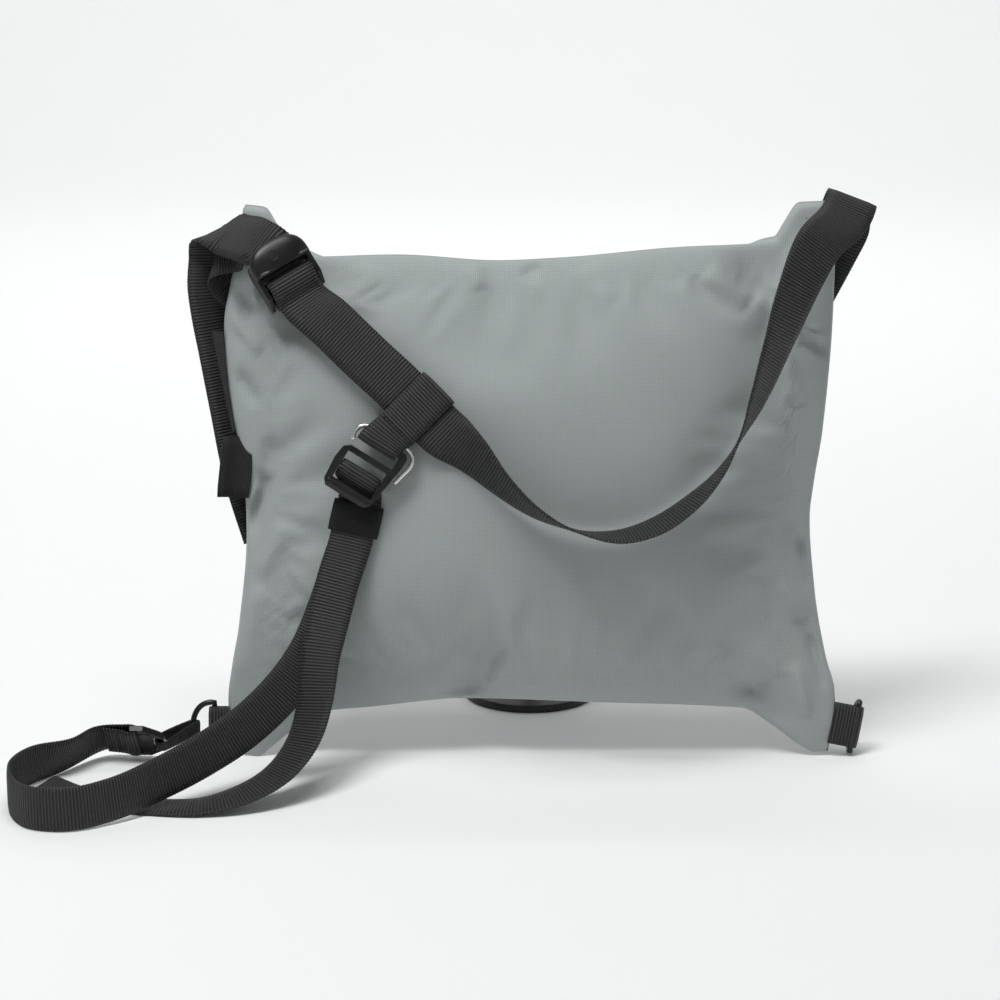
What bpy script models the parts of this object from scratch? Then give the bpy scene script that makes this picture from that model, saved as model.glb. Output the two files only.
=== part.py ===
"""A padded musette bag on a plain display stand, in metres, +Z up.

The bag stands on its two lower corners and leans back against the stand's post. The panel that
lies against the wearer faces -Y. Webbing straps run from the upper corners across that panel, and
a stabiliser strap hangs from a wire-gated hook and lies in a loop on the floor beside the bag.
"""
import math

import bmesh
import bpy
from mathutils import Matrix, Vector

# Bag
BAG_WIDTH = 0.360
BAG_HEIGHT = 0.328
BAG_DEPTH = 0.076
CLOTH = 0.002
SEAM = 0.005
MOUTH_GAP = 0.030
LIP_DROP = 0.010
EAR_RISE = 0.003
EAR_FLAT = 0.55
LEAN = math.radians(9.0)

# Webbing
MAIN_WEB = 0.030
SIDE_WEB = 0.025
LINK_WEB = 0.012
WEB = 0.0016
GAP = 0.0004
STEP = 0.013

# Ladder buckle
BUCKLE_HALF = 0.0188
BUCKLE_WALL = 0.0030
BUCKLE_RISE = 0.0058
BUCKLE_BAR = 0.0021
BUCKLE_PIN = 0.0013

# Hook with the wire gate
HOOK_THICK = 0.0046
HOOK_ROLL = 0.0031
GATE_WIRE = 0.0013
HOOK_PIN = 0.0012

# Rings, small hook and tabs
RING_WIRE = 0.0015
RING_BAR = 0.0150
RING_BOW = 0.0130
SNAP_THICK = 0.0040
SNAP_BAR = 0.0015
TAB_WIDTH = 0.0245
LEFT_TAB_REACH = 0.0019
RIGHT_TAB_REACH = 0.0041
SIDE_TAB_REACH = 0.0028
SIDE_TAB_WIDTH = 0.036
SLEEVE_LENGTH = 0.018
ELASTIC = 0.0008

# Display stand
BASE_RADIUS = 0.041
BASE_THICK = 0.005
POST_RADIUS = 0.004
STAND_BACK = 0.125
POST_UP = 0.60

# Grid of the bag's panels
COLUMNS = 24
ROWS = 18
MOUTH_COLUMN = 5
PANEL_POWER = 2.4
EDGE_POWER = 0.60

# Outline of the bag as shares of its half width and of its height
TOP_EDGE = (  # across, up
    (-0.950, 0.988), (-0.873, 0.983), (-0.833, 0.952), (-0.777, 0.922), (-0.700, 0.903),
    (-0.440, 0.906), (-0.116, 0.896), (0.100, 0.901), (0.440, 0.918), (0.790, 0.930),
    (0.820, 0.954), (0.872, 0.992), (0.970, 0.994))
LOW_EDGE = (  # across, up
    (-0.956, 0.004), (-0.909, 0.000), (-0.850, 0.022), (-0.777, 0.053), (-0.685, 0.082),
    (-0.519, 0.091), (-0.225, 0.106), (0.192, 0.099), (0.688, 0.089), (0.804, 0.053),
    (0.886, 0.020), (0.936, 0.008), (0.980, 0.010))
LEFT_EDGE = (  # up, out
    (0.000, -0.950), (0.040, -0.992), (0.102, -1.003), (0.166, -0.989), (0.240, -0.966),
    (0.411, -0.939), (0.521, -0.946), (0.650, -0.989), (0.790, -1.008), (0.870, -0.984),
    (0.930, -0.958), (1.000, -0.944))
RIGHT_EDGE = (  # up, out
    (0.000, 0.978), (0.066, 1.002), (0.115, 0.998), (0.175, 0.969), (0.300, 0.930),
    (0.430, 0.912), (0.502, 0.926), (0.593, 0.952), (0.794, 0.982), (0.939, 0.989),
    (1.000, 0.972))

# Dents and folds, as shares of half width, height, width and depth
FOLDS = (  # from across, from up, to across, to up, spread, rise
    (-0.840, 0.560, -0.950, 0.410, 0.020, -0.070),
    (-0.925, 0.840, -0.955, 0.760, 0.020, -0.050),
    (-0.800, 0.900, -0.740, 0.800, 0.040, -0.070),
    (0.700, 0.930, 0.745, 0.770, 0.040, -0.080),
    (0.880, 0.775, 0.975, 0.740, 0.018, -0.060),
    (0.845, 0.410, 0.925, 0.340, 0.022, -0.070),
    (0.890, 0.250, 0.940, 0.205, 0.018, -0.050),
    (0.735, 0.120, 0.800, 0.070, 0.030, -0.110),
    (-0.165, 0.190, -0.225, 0.115, 0.034, -0.110),
    (-0.740, 0.110, -0.810, 0.060, 0.030, -0.090),
    (-0.915, 0.290, -0.975, 0.175, 0.022, 0.050),
    (-0.116, 0.890, -0.100, 0.840, 0.040, -0.050))

# Straps beside the bag: place as shares of half width, height and depth, then the way the
# strap's outer face looks, across, outward and up
BUCKLE_AT = (-0.774, 0.858, 0.240)
BUCKLE_TURN = math.radians(31.6)
BUCKLE_TILT = math.radians(-22.0)
KEEPER_BEFORE = (-0.470, 0.694, 0.148)
KEEPER_AT = (-0.365, 0.637, 0.135)
KEEPER_AFTER = (-0.275, 0.587, 0.148)
HOOK_AT = (-0.548, 0.524, 0.195)
HOOK_TURN = math.radians(-32.0)
SLEEVE_AT = (-0.568, 0.441, 0.100)
SLEEVE_TURN = math.radians(-13.0)
FOLD_AT = (-0.997, 0.919, 0.035)
FOLD_TURN = math.radians(28.4)
FOLD_TILT = math.radians(-4.0)
FOLD_RADIUS = 0.0110
FOLD_SKEW = -0.450
MAIN_START = (  # across, up, off, face across, face out, face up
    (-0.648, 0.785, 0.195, 0.00, 1.00, 0.00),
    (-0.520, 0.718, 0.158, 0.00, 1.00, 0.00))
MAIN_RUN = (
    (-0.187, 0.553, 0.200, -0.42, 0.72, -0.52),
    (-0.095, 0.501, 0.245, -0.50, 0.42, -0.72),
    (0.008, 0.456, 0.280, -0.38, 0.16, -0.90),
    (0.115, 0.428, 0.300, -0.16, -0.04, -0.98),
    (0.271, 0.414, 0.310, 0.03, -0.18, -0.98),
    (0.385, 0.431, 0.300, 0.30, -0.26, -0.92),
    (0.500, 0.472, 0.290, 0.62, -0.28, -0.75),
    (0.593, 0.524, 0.290, 0.82, -0.20, -0.52),
    (0.659, 0.585, 0.290, 0.94, 0.04, -0.35),
    (0.712, 0.650, 0.290, 0.93, 0.24, -0.30),
    (0.769, 0.731, 0.300, 0.86, 0.43, -0.26),
    (0.828, 0.822, 0.340, 0.72, 0.67, -0.17),
    (0.895, 0.910, 0.360, 0.40, 0.90, -0.10),
    (0.970, 0.975, 0.260, 0.16, 0.96, 0.12))
MAIN_FOLD_AT = (1.020, 0.988, 0.045)
MAIN_FOLD_RADIUS = 0.0085
MAIN_ANCHOR = (
    (1.046, 0.955, -0.250, 0.10, -0.98, 0.10),
    (1.000, 0.902, -0.240, 0.15, -0.98, 0.05),
    (0.925, 0.835, -0.130, 0.30, -0.95, 0.10),
    (0.850, 0.765, -0.085, 0.30, -0.95, 0.10),
    (0.800, 0.715, -0.075, 0.25, -0.96, 0.08))
ANCHOR_RUN = (
    (-0.800, 0.715, -0.075, -0.25, -0.96, 0.08),
    (-0.850, 0.765, -0.085, -0.30, -0.95, 0.10),
    (-0.925, 0.825, -0.120, -0.35, -0.93, 0.10),
    (-0.995, 0.866, -0.105, -0.60, -0.78, 0.15),
    (-1.036, 0.900, -0.005, -0.94, 0.00, 0.34),
    (-1.012, 0.914, 0.070, -0.55, 0.82, 0.20),
    (-0.955, 0.920, 0.100, -0.06, 1.00, 0.05))
OVER_RUN = ((-0.900, 0.922, 0.170, -0.10, 1.00, 0.10),)
TAIL_RUN = (
    (-1.052, 0.852, -0.125, -0.38, -0.92, 0.00),
    (-1.044, 0.805, -0.150, -0.42, -0.90, 0.00),
    (-1.022, 0.740, -0.165, -0.42, -0.90, 0.00),
    (-0.985, 0.630, -0.175, -0.42, -0.90, 0.00),
    (-0.942, 0.505, -0.200, -0.42, -0.90, 0.00),
    (-0.880, 0.395, -0.085, -0.40, -0.91, 0.00))

# Pieces at the bag's seams: place, then how far they are turned in the bag's plane
SIDE_TAB_AT = (-0.986, 0.526, 0.000)
SIDE_TAB_TURN = math.radians(6.5)
TAPE_AT = (-0.992, 0.684, 0.000)
TAPE_OUTLINE = (  # down, right
    (-0.0280, -0.0100), (-0.0280, -0.0030), (0.0000, -0.0008), (0.0315, 0.0037), (0.0315, 0.0018))
LEFT_TAB_AT = (-1.0380, 0.053, 0.000)
LEFT_TAB_TURN = math.radians(0.0)
RIGHT_TAB_AT = (1.0438, 0.056, 0.000)
RIGHT_TAB_TURN = math.radians(-11.0)

# Hook's outline in its own plane: down the strap, then along its bars
HOOK_OUTLINE = (
    (-0.0105, -0.0135), (-0.0080, -0.0168), (0.0000, -0.0178), (0.0135, -0.0166),
    (0.0168, -0.0140), (0.0170, 0.0110), (0.0140, 0.0145), (0.0000, 0.0166),
    (-0.0140, 0.0186), (-0.0205, 0.0186), (-0.0221, 0.0165), (-0.0221, -0.0080),
    (-0.0203, -0.0095), (-0.0185, -0.0080), (-0.0185, 0.0140), (-0.0105, 0.0140))
GATE_RUN = (
    (-0.0050, 0.0196), (-0.0105, 0.0208), (-0.0174, 0.0222), (-0.0228, 0.0208),
    (-0.0252, 0.0165), (-0.0257, 0.0080), (-0.0257, -0.0040), (-0.0250, -0.0100),
    (-0.0225, -0.0142), (-0.0180, -0.0156), (-0.0138, -0.0142))

# Stabiliser strap on its way to the floor and round its loop, in metres from the middle of the
# bag's foot: across, back, up, then the way its outer face looks
STABILISER_RUN = (
    (-0.111, -0.0165, 0.118, 0.10, -0.98, 0.05),
    (-0.119, -0.0220, 0.095, 0.15, -0.96, 0.10),
    (-0.129, -0.030, 0.073, 0.20, -0.92, 0.15),
    (-0.145, -0.044, 0.053, 0.30, -0.88, 0.25),
    (-0.165, -0.060, 0.037, 0.35, -0.84, 0.25),
    (-0.188, -0.077, 0.0255, 0.38, -0.86, 0.15),
    (-0.211, -0.098, 0.0185, 0.42, -0.88, 0.05),
    (-0.234, -0.120, 0.0145, 0.30, -0.95, 0.00),
    (-0.256, -0.132, 0.0131, 0.00, -1.00, 0.00),
    (-0.277, -0.128, 0.0129, -0.45, -0.89, 0.00),
    (-0.291, -0.107, 0.0129, -0.92, -0.35, 0.00),
    (-0.295, -0.082, 0.0129, -0.99, 0.20, 0.00),
    (-0.289, -0.057, 0.0129, -0.76, 0.62, 0.15),
    (-0.272, -0.036, 0.0120, -0.50, 0.76, 0.42))
STABILISER_TAIL = (
    (-0.112, -0.0240, 0.116, -0.08, -0.98, 0.05),
    (-0.118, -0.030, 0.093, -0.18, -0.97, 0.08),
    (-0.123, -0.040, 0.071, -0.35, -0.92, 0.12),
    (-0.125, -0.052, 0.050, -0.52, -0.80, 0.25),
    (-0.131, -0.067, 0.031, -0.56, -0.64, 0.50),
    (-0.145, -0.082, 0.016, -0.50, -0.42, 0.75),
    (-0.165, -0.093, 0.0075, -0.30, -0.20, 0.92),
    (-0.188, -0.097, 0.0026, -0.10, -0.05, 0.99),
    (-0.212, -0.094, 0.0014, 0.00, 0.00, 1.00),
    (-0.237, -0.088, 0.0014, 0.00, 0.00, 1.00),
    (-0.260, -0.080, 0.0030, 0.10, -0.10, 0.98),
    (-0.279, -0.071, 0.0068, 0.25, -0.20, 0.94))

# Small hook beside the left corner, in metres from the middle of the bag's foot
SNAP_AT = (-0.2262, -0.0110, 0.0132)
SNAP_TURN = math.radians(-4.0)
SNAP_LEAN = math.radians(130.0)
SNAP_OUTLINE = (
    (-0.0100, -0.0134), (0.0000, -0.0134), (0.0070, -0.0085), (0.0096, -0.0050),
    (0.0096, 0.0045), (0.0070, 0.0078), (-0.0020, 0.0134), (-0.0100, 0.0134))

BLACK = (0.018, 0.018, 0.019)


def clear_scene():
    """Remove every object that is in the file."""
    for thing in list(bpy.data.objects):
        bpy.data.objects.remove(thing, do_unlink=True)


def make_material(name, colour, roughness, metallic=0.0):
    """Return a plain surface of one colour."""
    surface = bpy.data.materials.new(name)
    surface.use_nodes = True
    shader = surface.node_tree.nodes["Principled BSDF"]
    shader.inputs["Base Color"].default_value = (*colour, 1.0)
    shader.inputs["Roughness"].default_value = roughness
    shader.inputs["Metallic"].default_value = metallic
    return surface


def add_object(name, shape, surface):
    """Turn a bmesh into a named object with one material."""
    mesh = bpy.data.meshes.new(name)
    shape.normal_update()
    shape.to_mesh(mesh)
    shape.free()
    mesh.materials.append(surface)
    thing = bpy.data.objects.new(name, mesh)
    bpy.context.collection.objects.link(thing)
    return thing


def blend(low, high, value):
    """Rise smoothly from 0 at low to 1 at high."""
    share = min(max((value - low) / (high - low), 0.0), 1.0)
    return share * share * (3.0 - 2.0 * share)


def read_edge(table, place):
    """Read a two-column table at a place, smoothly and without overshoot."""
    if place <= table[0][0]:
        return table[0][1]
    if place >= table[-1][0]:
        return table[-1][1]
    slopes = [(b[1] - a[1]) / (b[0] - a[0]) for a, b in zip(table, table[1:])]
    knots = [slopes[0]]
    for before, after in zip(slopes, slopes[1:]):
        flat = before * after <= 0.0
        knots.append(0.0 if flat else 2.0 * before * after / (before + after))
    knots.append(slopes[-1])
    index = max(i for i, row in enumerate(table[:-1]) if row[0] <= place)
    start, end = table[index], table[index + 1]
    span = end[0] - start[0]
    x = (place - start[0]) / span
    return ((1 + 2 * x) * (1 - x) ** 2 * start[1] + x * (1 - x) ** 2 * span * knots[index]
            + x * x * (3 - 2 * x) * end[1] + x * x * (x - 1) * span * knots[index + 1])


def panel_place(s, t):
    """Return across and up shares of a panel's point, s from left to right, t from foot to top."""
    across = (1.0 - s) * read_edge(LEFT_EDGE, t) + s * read_edge(RIGHT_EDGE, t)
    up = (1.0 - t) * read_edge(LOW_EDGE, across) + t * read_edge(TOP_EDGE, across)
    return across, up


def fullness(s, t):
    """Return how far a panel stands off the seam there, in metres, without its folds."""
    sideways = max(1.0 - abs(2.0 * s - 1.0) ** PANEL_POWER, 0.0)
    sideways = sideways ** (EDGE_POWER * (1.0 - 0.5 * blend(0.85, 1.0, t)))
    upward = max(1.0 - abs(2.0 * t - 1.0) ** PANEL_POWER, 0.0) ** EDGE_POWER
    if t > 0.5:
        lip = MOUTH_GAP / BAG_DEPTH
        upward = lip + (1.0 - lip) * upward
    return 0.5 * BAG_DEPTH * sideways * upward


def fold_rise(across, up):
    """Return the height of the dents and folds at a place, in metres."""
    rise = 0.0
    place = Vector((across * BAG_WIDTH / 2, up * BAG_HEIGHT))
    for from_across, from_up, to_across, to_up, spread, share in FOLDS:
        start = Vector((from_across * BAG_WIDTH / 2, from_up * BAG_HEIGHT))
        end = Vector((to_across * BAG_WIDTH / 2, to_up * BAG_HEIGHT))
        run = end - start
        along = min(max((place - start).dot(run) / run.length_squared, 0.0), 1.0)
        away = (place - start - run * along).length / (spread * BAG_WIDTH)
        rise += share * BAG_DEPTH * math.exp(-away * away)
    return rise


def panel_depth(s, t):
    """Return how far a panel stands off the seam with its folds."""
    full = fullness(s, t)
    across, up = panel_place(s, t)
    return full + fold_rise(across, up) * blend(0.0, 0.012, full)


def panel_point(s, t, side, inset=0.0):
    """Return a point of the wearer's panel, side 1, or of the hidden one, side -1, upright."""
    across, up = panel_place(s, t)
    mouth = blend(0.10, 0.22, s) * blend(0.10, 0.22, 1.0 - s)
    drop = (LIP_DROP * mouth - EAR_RISE * (1.0 - mouth)) * blend(0.80, 1.0, t)
    drop *= 0.5 * (1.0 - side) * blend(0.0, 0.004, fullness(s, t))
    flat = 1.0 - EAR_FLAT * (1.0 - mouth) * blend(0.86, 0.97, t)
    depth = max(panel_depth(s, t) * flat - inset, 0.0)
    return Vector((across * BAG_WIDTH / 2, -side * depth, up * BAG_HEIGHT - drop))


def spread_shares(count, crowd):
    """Return shares from 0 to 1 that crowd towards both ends."""
    shares = []
    for index in range(count + 1):
        even = index / count
        shares.append((1.0 - crowd) * even + crowd * 0.5 * (1.0 - math.cos(math.pi * even)))
    return shares


def outer_skin():
    """Return rows of points of both panels' outsides, upright."""
    columns = spread_shares(COLUMNS, 0.5)
    rows = spread_shares(ROWS, 0.4)
    near = [[panel_point(s, t, 1) for s in columns] for t in rows]
    far = [[panel_point(s, t, -1) for s in columns] for t in rows]
    return near, far


def inner_skin():
    """Return rows of points of both panels' insides, which end at the mouth, upright."""
    columns = spread_shares(COLUMNS, 0.5)[MOUTH_COLUMN:COLUMNS - MOUTH_COLUMN + 1]
    rows = spread_shares(ROWS, 0.4)
    edge = 2.0 * SEAM / BAG_WIDTH
    foot = 2.0 * SEAM / BAG_HEIGHT
    layers = {1: [], -1: []}
    for t in rows:
        height = foot + (1.0 - foot) * t
        narrow = blend(0.62, 1.0, t)
        close = max(1.0 - (1.0 - t) ** 10, 0.0) ** 0.5
        for side, layer in layers.items():
            line = []
            for s in columns:
                share = (s - columns[0]) / (columns[-1] - columns[0])
                wide = edge + (1.0 - 2.0 * edge) * share
                place = wide + (s - wide) * narrow
                point = panel_point(place, height, side, CLOTH)
                end = max(1.0 - abs(2.0 * share - 1.0) ** 10, 0.0) ** 0.5
                end += (1.0 - end) * blend(0.9, 1.0, t)
                point.y *= end * close
                line.append(point)
            layer.append(line)
    return layers[1], layers[-1]


def bag_lift():
    """Return how far the leaning bag is raised to stand on its lowest point."""
    turn = Matrix.Rotation(-LEAN, 3, "X")
    near, far = outer_skin()
    return -min((turn @ point).z for line in near + far for point in line)


LEAN_TURN = Matrix.Rotation(-LEAN, 3, "X")
LIFT = Vector((0.0, 0.0, bag_lift()))


def leaned(point):
    """Carry a point of the upright bag to its place on the floor."""
    return LEAN_TURN @ point + LIFT


def beside_bag(across, up, off):
    """Return the place that lies off the wearer's panel, or the hidden one where off is negative."""
    low = read_edge(LOW_EDGE, across)
    high = read_edge(TOP_EDGE, across)
    t = (up - low) / (high - low)
    left = read_edge(LEFT_EDGE, min(max(t, 0.0), 1.0))
    right = read_edge(RIGHT_EDGE, min(max(t, 0.0), 1.0))
    s = (across - left) / (right - left)
    inside = 0.0 < s < 1.0 and 0.0 < t < 1.0
    depth = panel_depth(s, t) if inside else 0.0
    side = 1.0 if off >= 0.0 else -1.0
    y = -side * depth - off * BAG_DEPTH
    return leaned(Vector((across * BAG_WIDTH / 2, y, up * BAG_HEIGHT)))


def face_way(across, out, up):
    """Return the leaned direction of a strap's outer face."""
    return (LEAN_TURN @ Vector((across, -out, up))).normalized()


def bag_stations(table):
    """Turn rows beside the bag into strap stations."""
    return [(beside_bag(*row[:3]), face_way(*row[3:])) for row in table]


def floor_stations(table):
    """Turn rows on the floor into strap stations."""
    return [(Vector(row[:3]), Vector(row[3:]).normalized()) for row in table]


def seat(at, turn, tilt=0.0):
    """Return a frame beside the bag: x down the strap, y along the bars, z outward."""
    bars = Vector((math.cos(turn), 0.0, math.sin(turn)))
    out = Vector((0.0, -1.0, 0.0))
    down = bars.cross(out)
    frame = Matrix((LEAN_TURN @ down, LEAN_TURN @ bars, LEAN_TURN @ out)).transposed().to_4x4()
    frame.translation = beside_bag(*at)
    return frame @ Matrix.Rotation(tilt, 4, "X")


def seated(frame, rows, along=0.0):
    """Turn rows of down, out, face down and face out into strap stations that lie along the bars."""
    turn = frame.to_3x3()
    bars = turn @ Vector((0.0, 1.0, 0.0))
    return [(frame @ Vector((down, along, out)),
             (turn @ Vector((look_down, 0.0, look_out))).normalized(), bars)
            for down, out, look_down, look_out in rows]


def strap_seat(before, at, after):
    """Return a frame on a strap beside the bag: x across it, y along it and z outward."""
    along = (beside_bag(*after) - beside_bag(*before)).normalized()
    out = face_way(0.0, 1.0, 0.0)
    out = (out - along * out.dot(along)).normalized()
    frame = Matrix((along.cross(out), along, out)).transposed().to_4x4()
    frame.translation = beside_bag(*at)
    return frame


def straight_run(frame, axis, reach, out=0.0):
    """Return four stations on a frame's axis, so that a strap lies straight between them."""
    turn = frame.to_3x3()
    face = turn @ Vector((0.0, 0.0, 1.0))
    stations = []
    for place in (-reach - 0.0015, -reach, reach, reach + 0.0015):
        point = Vector((0.0, 0.0, out))
        point[axis] = place
        stations.append((frame @ point, face, turn @ Vector((axis, 1 - axis, 0.0))))
    return stations


def folded(frame, radius, skew):
    """Return stations of a strap that rolls over a frame's y axis at a slant, from front to back."""
    turn = frame.to_3x3()
    square = math.sqrt(1.0 - skew * skew)
    stations = []
    for index in range(7):
        angle = math.radians(30.0 * index)
        look = Vector((-math.sin(angle), 0.0, math.cos(angle)))
        onward = Vector((-math.cos(angle), 0.0, -math.sin(angle)))
        side = skew * onward - square * Vector((0.0, 1.0, 0.0))
        place = radius * look
        place.y = skew * radius * (angle - math.pi / 2) / square
        stations.append((frame @ place, turn @ look, turn @ side))
    return stations


def round_bar(down, out, radius, start, end, count):
    """Return rows that pass round a bar from one angle to another, in degrees."""
    rows = []
    for index in range(count + 1):
        angle = math.radians(start + (end - start) * index / count)
        look_down, look_out = math.cos(angle), math.sin(angle)
        rows.append((down + radius * look_down, out + radius * look_out, look_down, look_out))
    return rows


def station_sides(stations, slopes):
    """Return which way a strap's width lies at each station."""
    sides = []
    for station, slope in zip(stations, slopes):
        side = slope.cross(station[1]).normalized()
        if len(station) > 2:
            side = station[2] if station[2].dot(side) > 0.0 else -station[2]
        sides.append(side)
    return sides


def smooth_path(stations, step):
    """Return points and side directions along a smooth curve through the stations."""
    points = [station[0] for station in stations]
    spans = [max((b - a).length, 1e-6) for a, b in zip(points, points[1:])]
    slopes = []
    for index in range(len(points)):
        if index == 0:
            slopes.append((points[1] - points[0]) / spans[0])
        elif index == len(points) - 1:
            slopes.append((points[-1] - points[-2]) / spans[-1])
        else:
            before = (points[index] - points[index - 1]) / spans[index - 1]
            after = (points[index + 1] - points[index]) / spans[index]
            total = spans[index - 1] + spans[index]
            slopes.append((before * spans[index] + after * spans[index - 1]) / total)
    widths = station_sides(stations, slopes)
    places, sides = [points[0]], [widths[0]]
    for index, span in enumerate(spans):
        turn = stations[index][1].angle(stations[index + 1][1], 0.0)
        pieces = max(1, math.ceil(span / step), math.ceil(turn / math.radians(28.0)))
        for piece in range(1, pieces + 1):
            x = piece / pieces
            places.append((1 + 2 * x) * (1 - x) ** 2 * points[index]
                          + x * (1 - x) ** 2 * span * slopes[index]
                          + x * x * (3 - 2 * x) * points[index + 1]
                          + x * x * (x - 1) * span * slopes[index + 1])
            sides.append(widths[index].lerp(widths[index + 1], x).normalized())
    return places, sides


def add_strip(name, places, sides, width, surface, closed=False, thick=WEB):
    """Make a flat strap that follows places, with its width lying as sides say."""
    shape = bmesh.new()
    rings = []
    count = len(places)
    for index, place in enumerate(places):
        before = places[index - 1] if closed or index else place
        after = places[(index + 1) % count] if closed or index + 1 < count else place
        run = (after - before).normalized()
        face = sides[index].cross(run).normalized()
        half_width, half_thick = sides[index] * width / 2, face * thick / 2
        rings.append([shape.verts.new(place + a * half_width + b * half_thick)
                      for a, b in ((1, 1), (1, -1), (-1, -1), (-1, 1))])
    turns = range(count) if closed else range(count - 1)
    for index in turns:
        ring, following = rings[index], rings[(index + 1) % count]
        for corner in range(4):
            beyond = (corner + 1) % 4
            shape.faces.new((ring[corner], ring[beyond], following[beyond], following[corner]))
    if not closed:
        shape.faces.new(rings[0][::-1])
        shape.faces.new(rings[-1])
    bmesh.ops.recalc_face_normals(shape, faces=shape.faces)
    return add_object(name, shape, surface)


def add_strap(name, stations, width, surface, step=STEP):
    """Make a strap along a smooth curve through its stations."""
    places, sides = smooth_path(stations, step)
    return add_strip(name, places, sides, width, surface)


def add_rod(name, start, end, radius, surface, sides=12):
    """Make a straight round rod between two points."""
    shape = bmesh.new()
    run = end - start
    turn = run.to_track_quat("Z", "Y").to_matrix().to_4x4()
    bmesh.ops.create_cone(shape, cap_ends=True, segments=sides, radius1=radius, radius2=radius,
                          depth=run.length, matrix=Matrix.Translation((start + end) / 2) @ turn)
    return add_object(name, shape, surface)


def add_wire(name, points, radius, surface, closed=False, sides=8):
    """Make a round wire through points, with its ends closed."""
    shape = bmesh.new()
    rings = []
    count = len(points)
    guide = None
    for index, point in enumerate(points):
        before = points[index - 1] if closed or index else point
        after = points[(index + 1) % count] if closed or index + 1 < count else point
        run = (after - before).normalized()
        if guide is None:
            guide = run.orthogonal()
        guide = (guide - run * guide.dot(run)).normalized()
        beside = run.cross(guide)
        rings.append([shape.verts.new(point + radius * (math.cos(turn) * guide + math.sin(turn) * beside))
                      for turn in (2 * math.pi * side / sides for side in range(sides))])
    turns = range(count) if closed else range(count - 1)
    for index in turns:
        ring, following = rings[index], rings[(index + 1) % count]
        for side in range(sides):
            beyond = (side + 1) % sides
            shape.faces.new((ring[side], ring[beyond], following[beyond], following[side]))
    if not closed:
        shape.faces.new(rings[0][::-1])
        shape.faces.new(rings[-1])
    bmesh.ops.recalc_face_normals(shape, faces=shape.faces)
    thing = add_object(name, shape, surface)
    thing.data.shade_smooth()
    return thing


def add_block(name, frame, low, high, surface):
    """Make a box between two corners of a frame."""
    shape = bmesh.new()
    size = [b - a for a, b in zip(low, high)]
    middle = Vector([(a + b) / 2 for a, b in zip(low, high)])
    place = frame @ Matrix.Translation(middle) @ Matrix.Diagonal((*size, 1.0))
    bmesh.ops.create_cube(shape, size=1.0, matrix=place)
    bmesh.ops.recalc_face_normals(shape, faces=shape.faces)
    return add_object(name, shape, surface)


def add_plate(name, frame, outline, low, high, surface):
    """Make a flat plate of an outline in a frame's plane."""
    shape = bmesh.new()
    floor = [shape.verts.new(frame @ Vector((x, y, low))) for x, y in outline]
    roof = [shape.verts.new(frame @ Vector((x, y, high))) for x, y in outline]
    count = len(outline)
    for index in range(count):
        beyond = (index + 1) % count
        shape.faces.new((floor[index], floor[beyond], roof[beyond], roof[index]))
    shape.faces.new(floor[::-1])
    shape.faces.new(roof)
    shape.normal_update()
    bmesh.ops.triangulate(shape, faces=[face for face in shape.faces if len(face.verts) > 4])
    bmesh.ops.recalc_face_normals(shape, faces=shape.faces)
    return add_object(name, shape, surface)


def combine(base, others, operation):
    """Unite the others with base, or cut them out of it, and keep one mesh."""
    for other in others:
        joint = base.modifiers.new("combine", "BOOLEAN")
        joint.operation = operation
        joint.solver = "EXACT"
        joint.object = other
    bpy.context.view_layer.update()
    graph = bpy.context.evaluated_depsgraph_get()
    mesh = bpy.data.meshes.new_from_object(base.evaluated_get(graph))
    base.modifiers.clear()
    base.data = mesh
    for other in others:
        bpy.data.objects.remove(other, do_unlink=True)
    return base


def make_bag(surface):
    """Make the hollow bag: two panels sewn at the sides and foot, open at the mouth."""
    shape = bmesh.new()
    near, far = outer_skin()
    near_in, far_in = inner_skin()

    def skin(front, back):
        grid_front, grid_back = [], []
        last = len(front[0]) - 1
        for row, (line, behind) in enumerate(zip(front, back)):
            grid_front.append([shape.verts.new(point) for point in line])
            shared = [row == 0 or column in (0, last) for column in range(last + 1)]
            if front is near_in and row == len(front) - 1:
                shared = [False] * (last + 1)
            grid_back.append([grid_front[row][column] if shared[column] else shape.verts.new(point)
                              for column, point in enumerate(behind)])
        return grid_front, grid_back

    def panel(grid):
        for low, high in zip(grid, grid[1:]):
            for column in range(len(low) - 1):
                corners = (low[column], low[column + 1], high[column + 1], high[column])
                shape.faces.new(dict.fromkeys(corners))

    outer_front, outer_back = skin(near, far)
    inner_front, inner_back = skin(near_in, far_in)
    for grid in (outer_front, outer_back, inner_front, inner_back):
        panel(grid)
    top_front, top_back = outer_front[-1], outer_back[-1]
    lip_front, lip_back = inner_front[-1], inner_back[-1]
    first, last = MOUTH_COLUMN, COLUMNS - MOUTH_COLUMN
    for column in list(range(first)) + list(range(last, COLUMNS)):
        corners = (top_front[column], top_front[column + 1], top_back[column + 1], top_back[column])
        shape.faces.new(dict.fromkeys(corners))
    for column in range(first, last):
        inner = column - first
        shape.faces.new((top_front[column], top_front[column + 1],
                         lip_front[inner + 1], lip_front[inner]))
        shape.faces.new((top_back[column], top_back[column + 1],
                         lip_back[inner + 1], lip_back[inner]))
    shape.faces.new((top_front[first], lip_front[0], lip_back[0], top_back[first]))
    shape.faces.new((top_front[last], lip_front[-1], lip_back[-1], top_back[last]))
    below = (inner_front[-2][0], inner_front[-2][-1])
    shape.faces.new((lip_front[0], lip_back[0], below[0]))
    shape.faces.new((lip_front[-1], lip_back[-1], below[1]))
    for point in shape.verts:
        point.co = leaned(point.co)
    bmesh.ops.triangulate(shape, faces=shape.faces)
    bmesh.ops.recalc_face_normals(shape, faces=shape.faces)
    bag = add_object("bag_body", shape, surface)
    bag.data.shade_smooth()
    return bag


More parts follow.
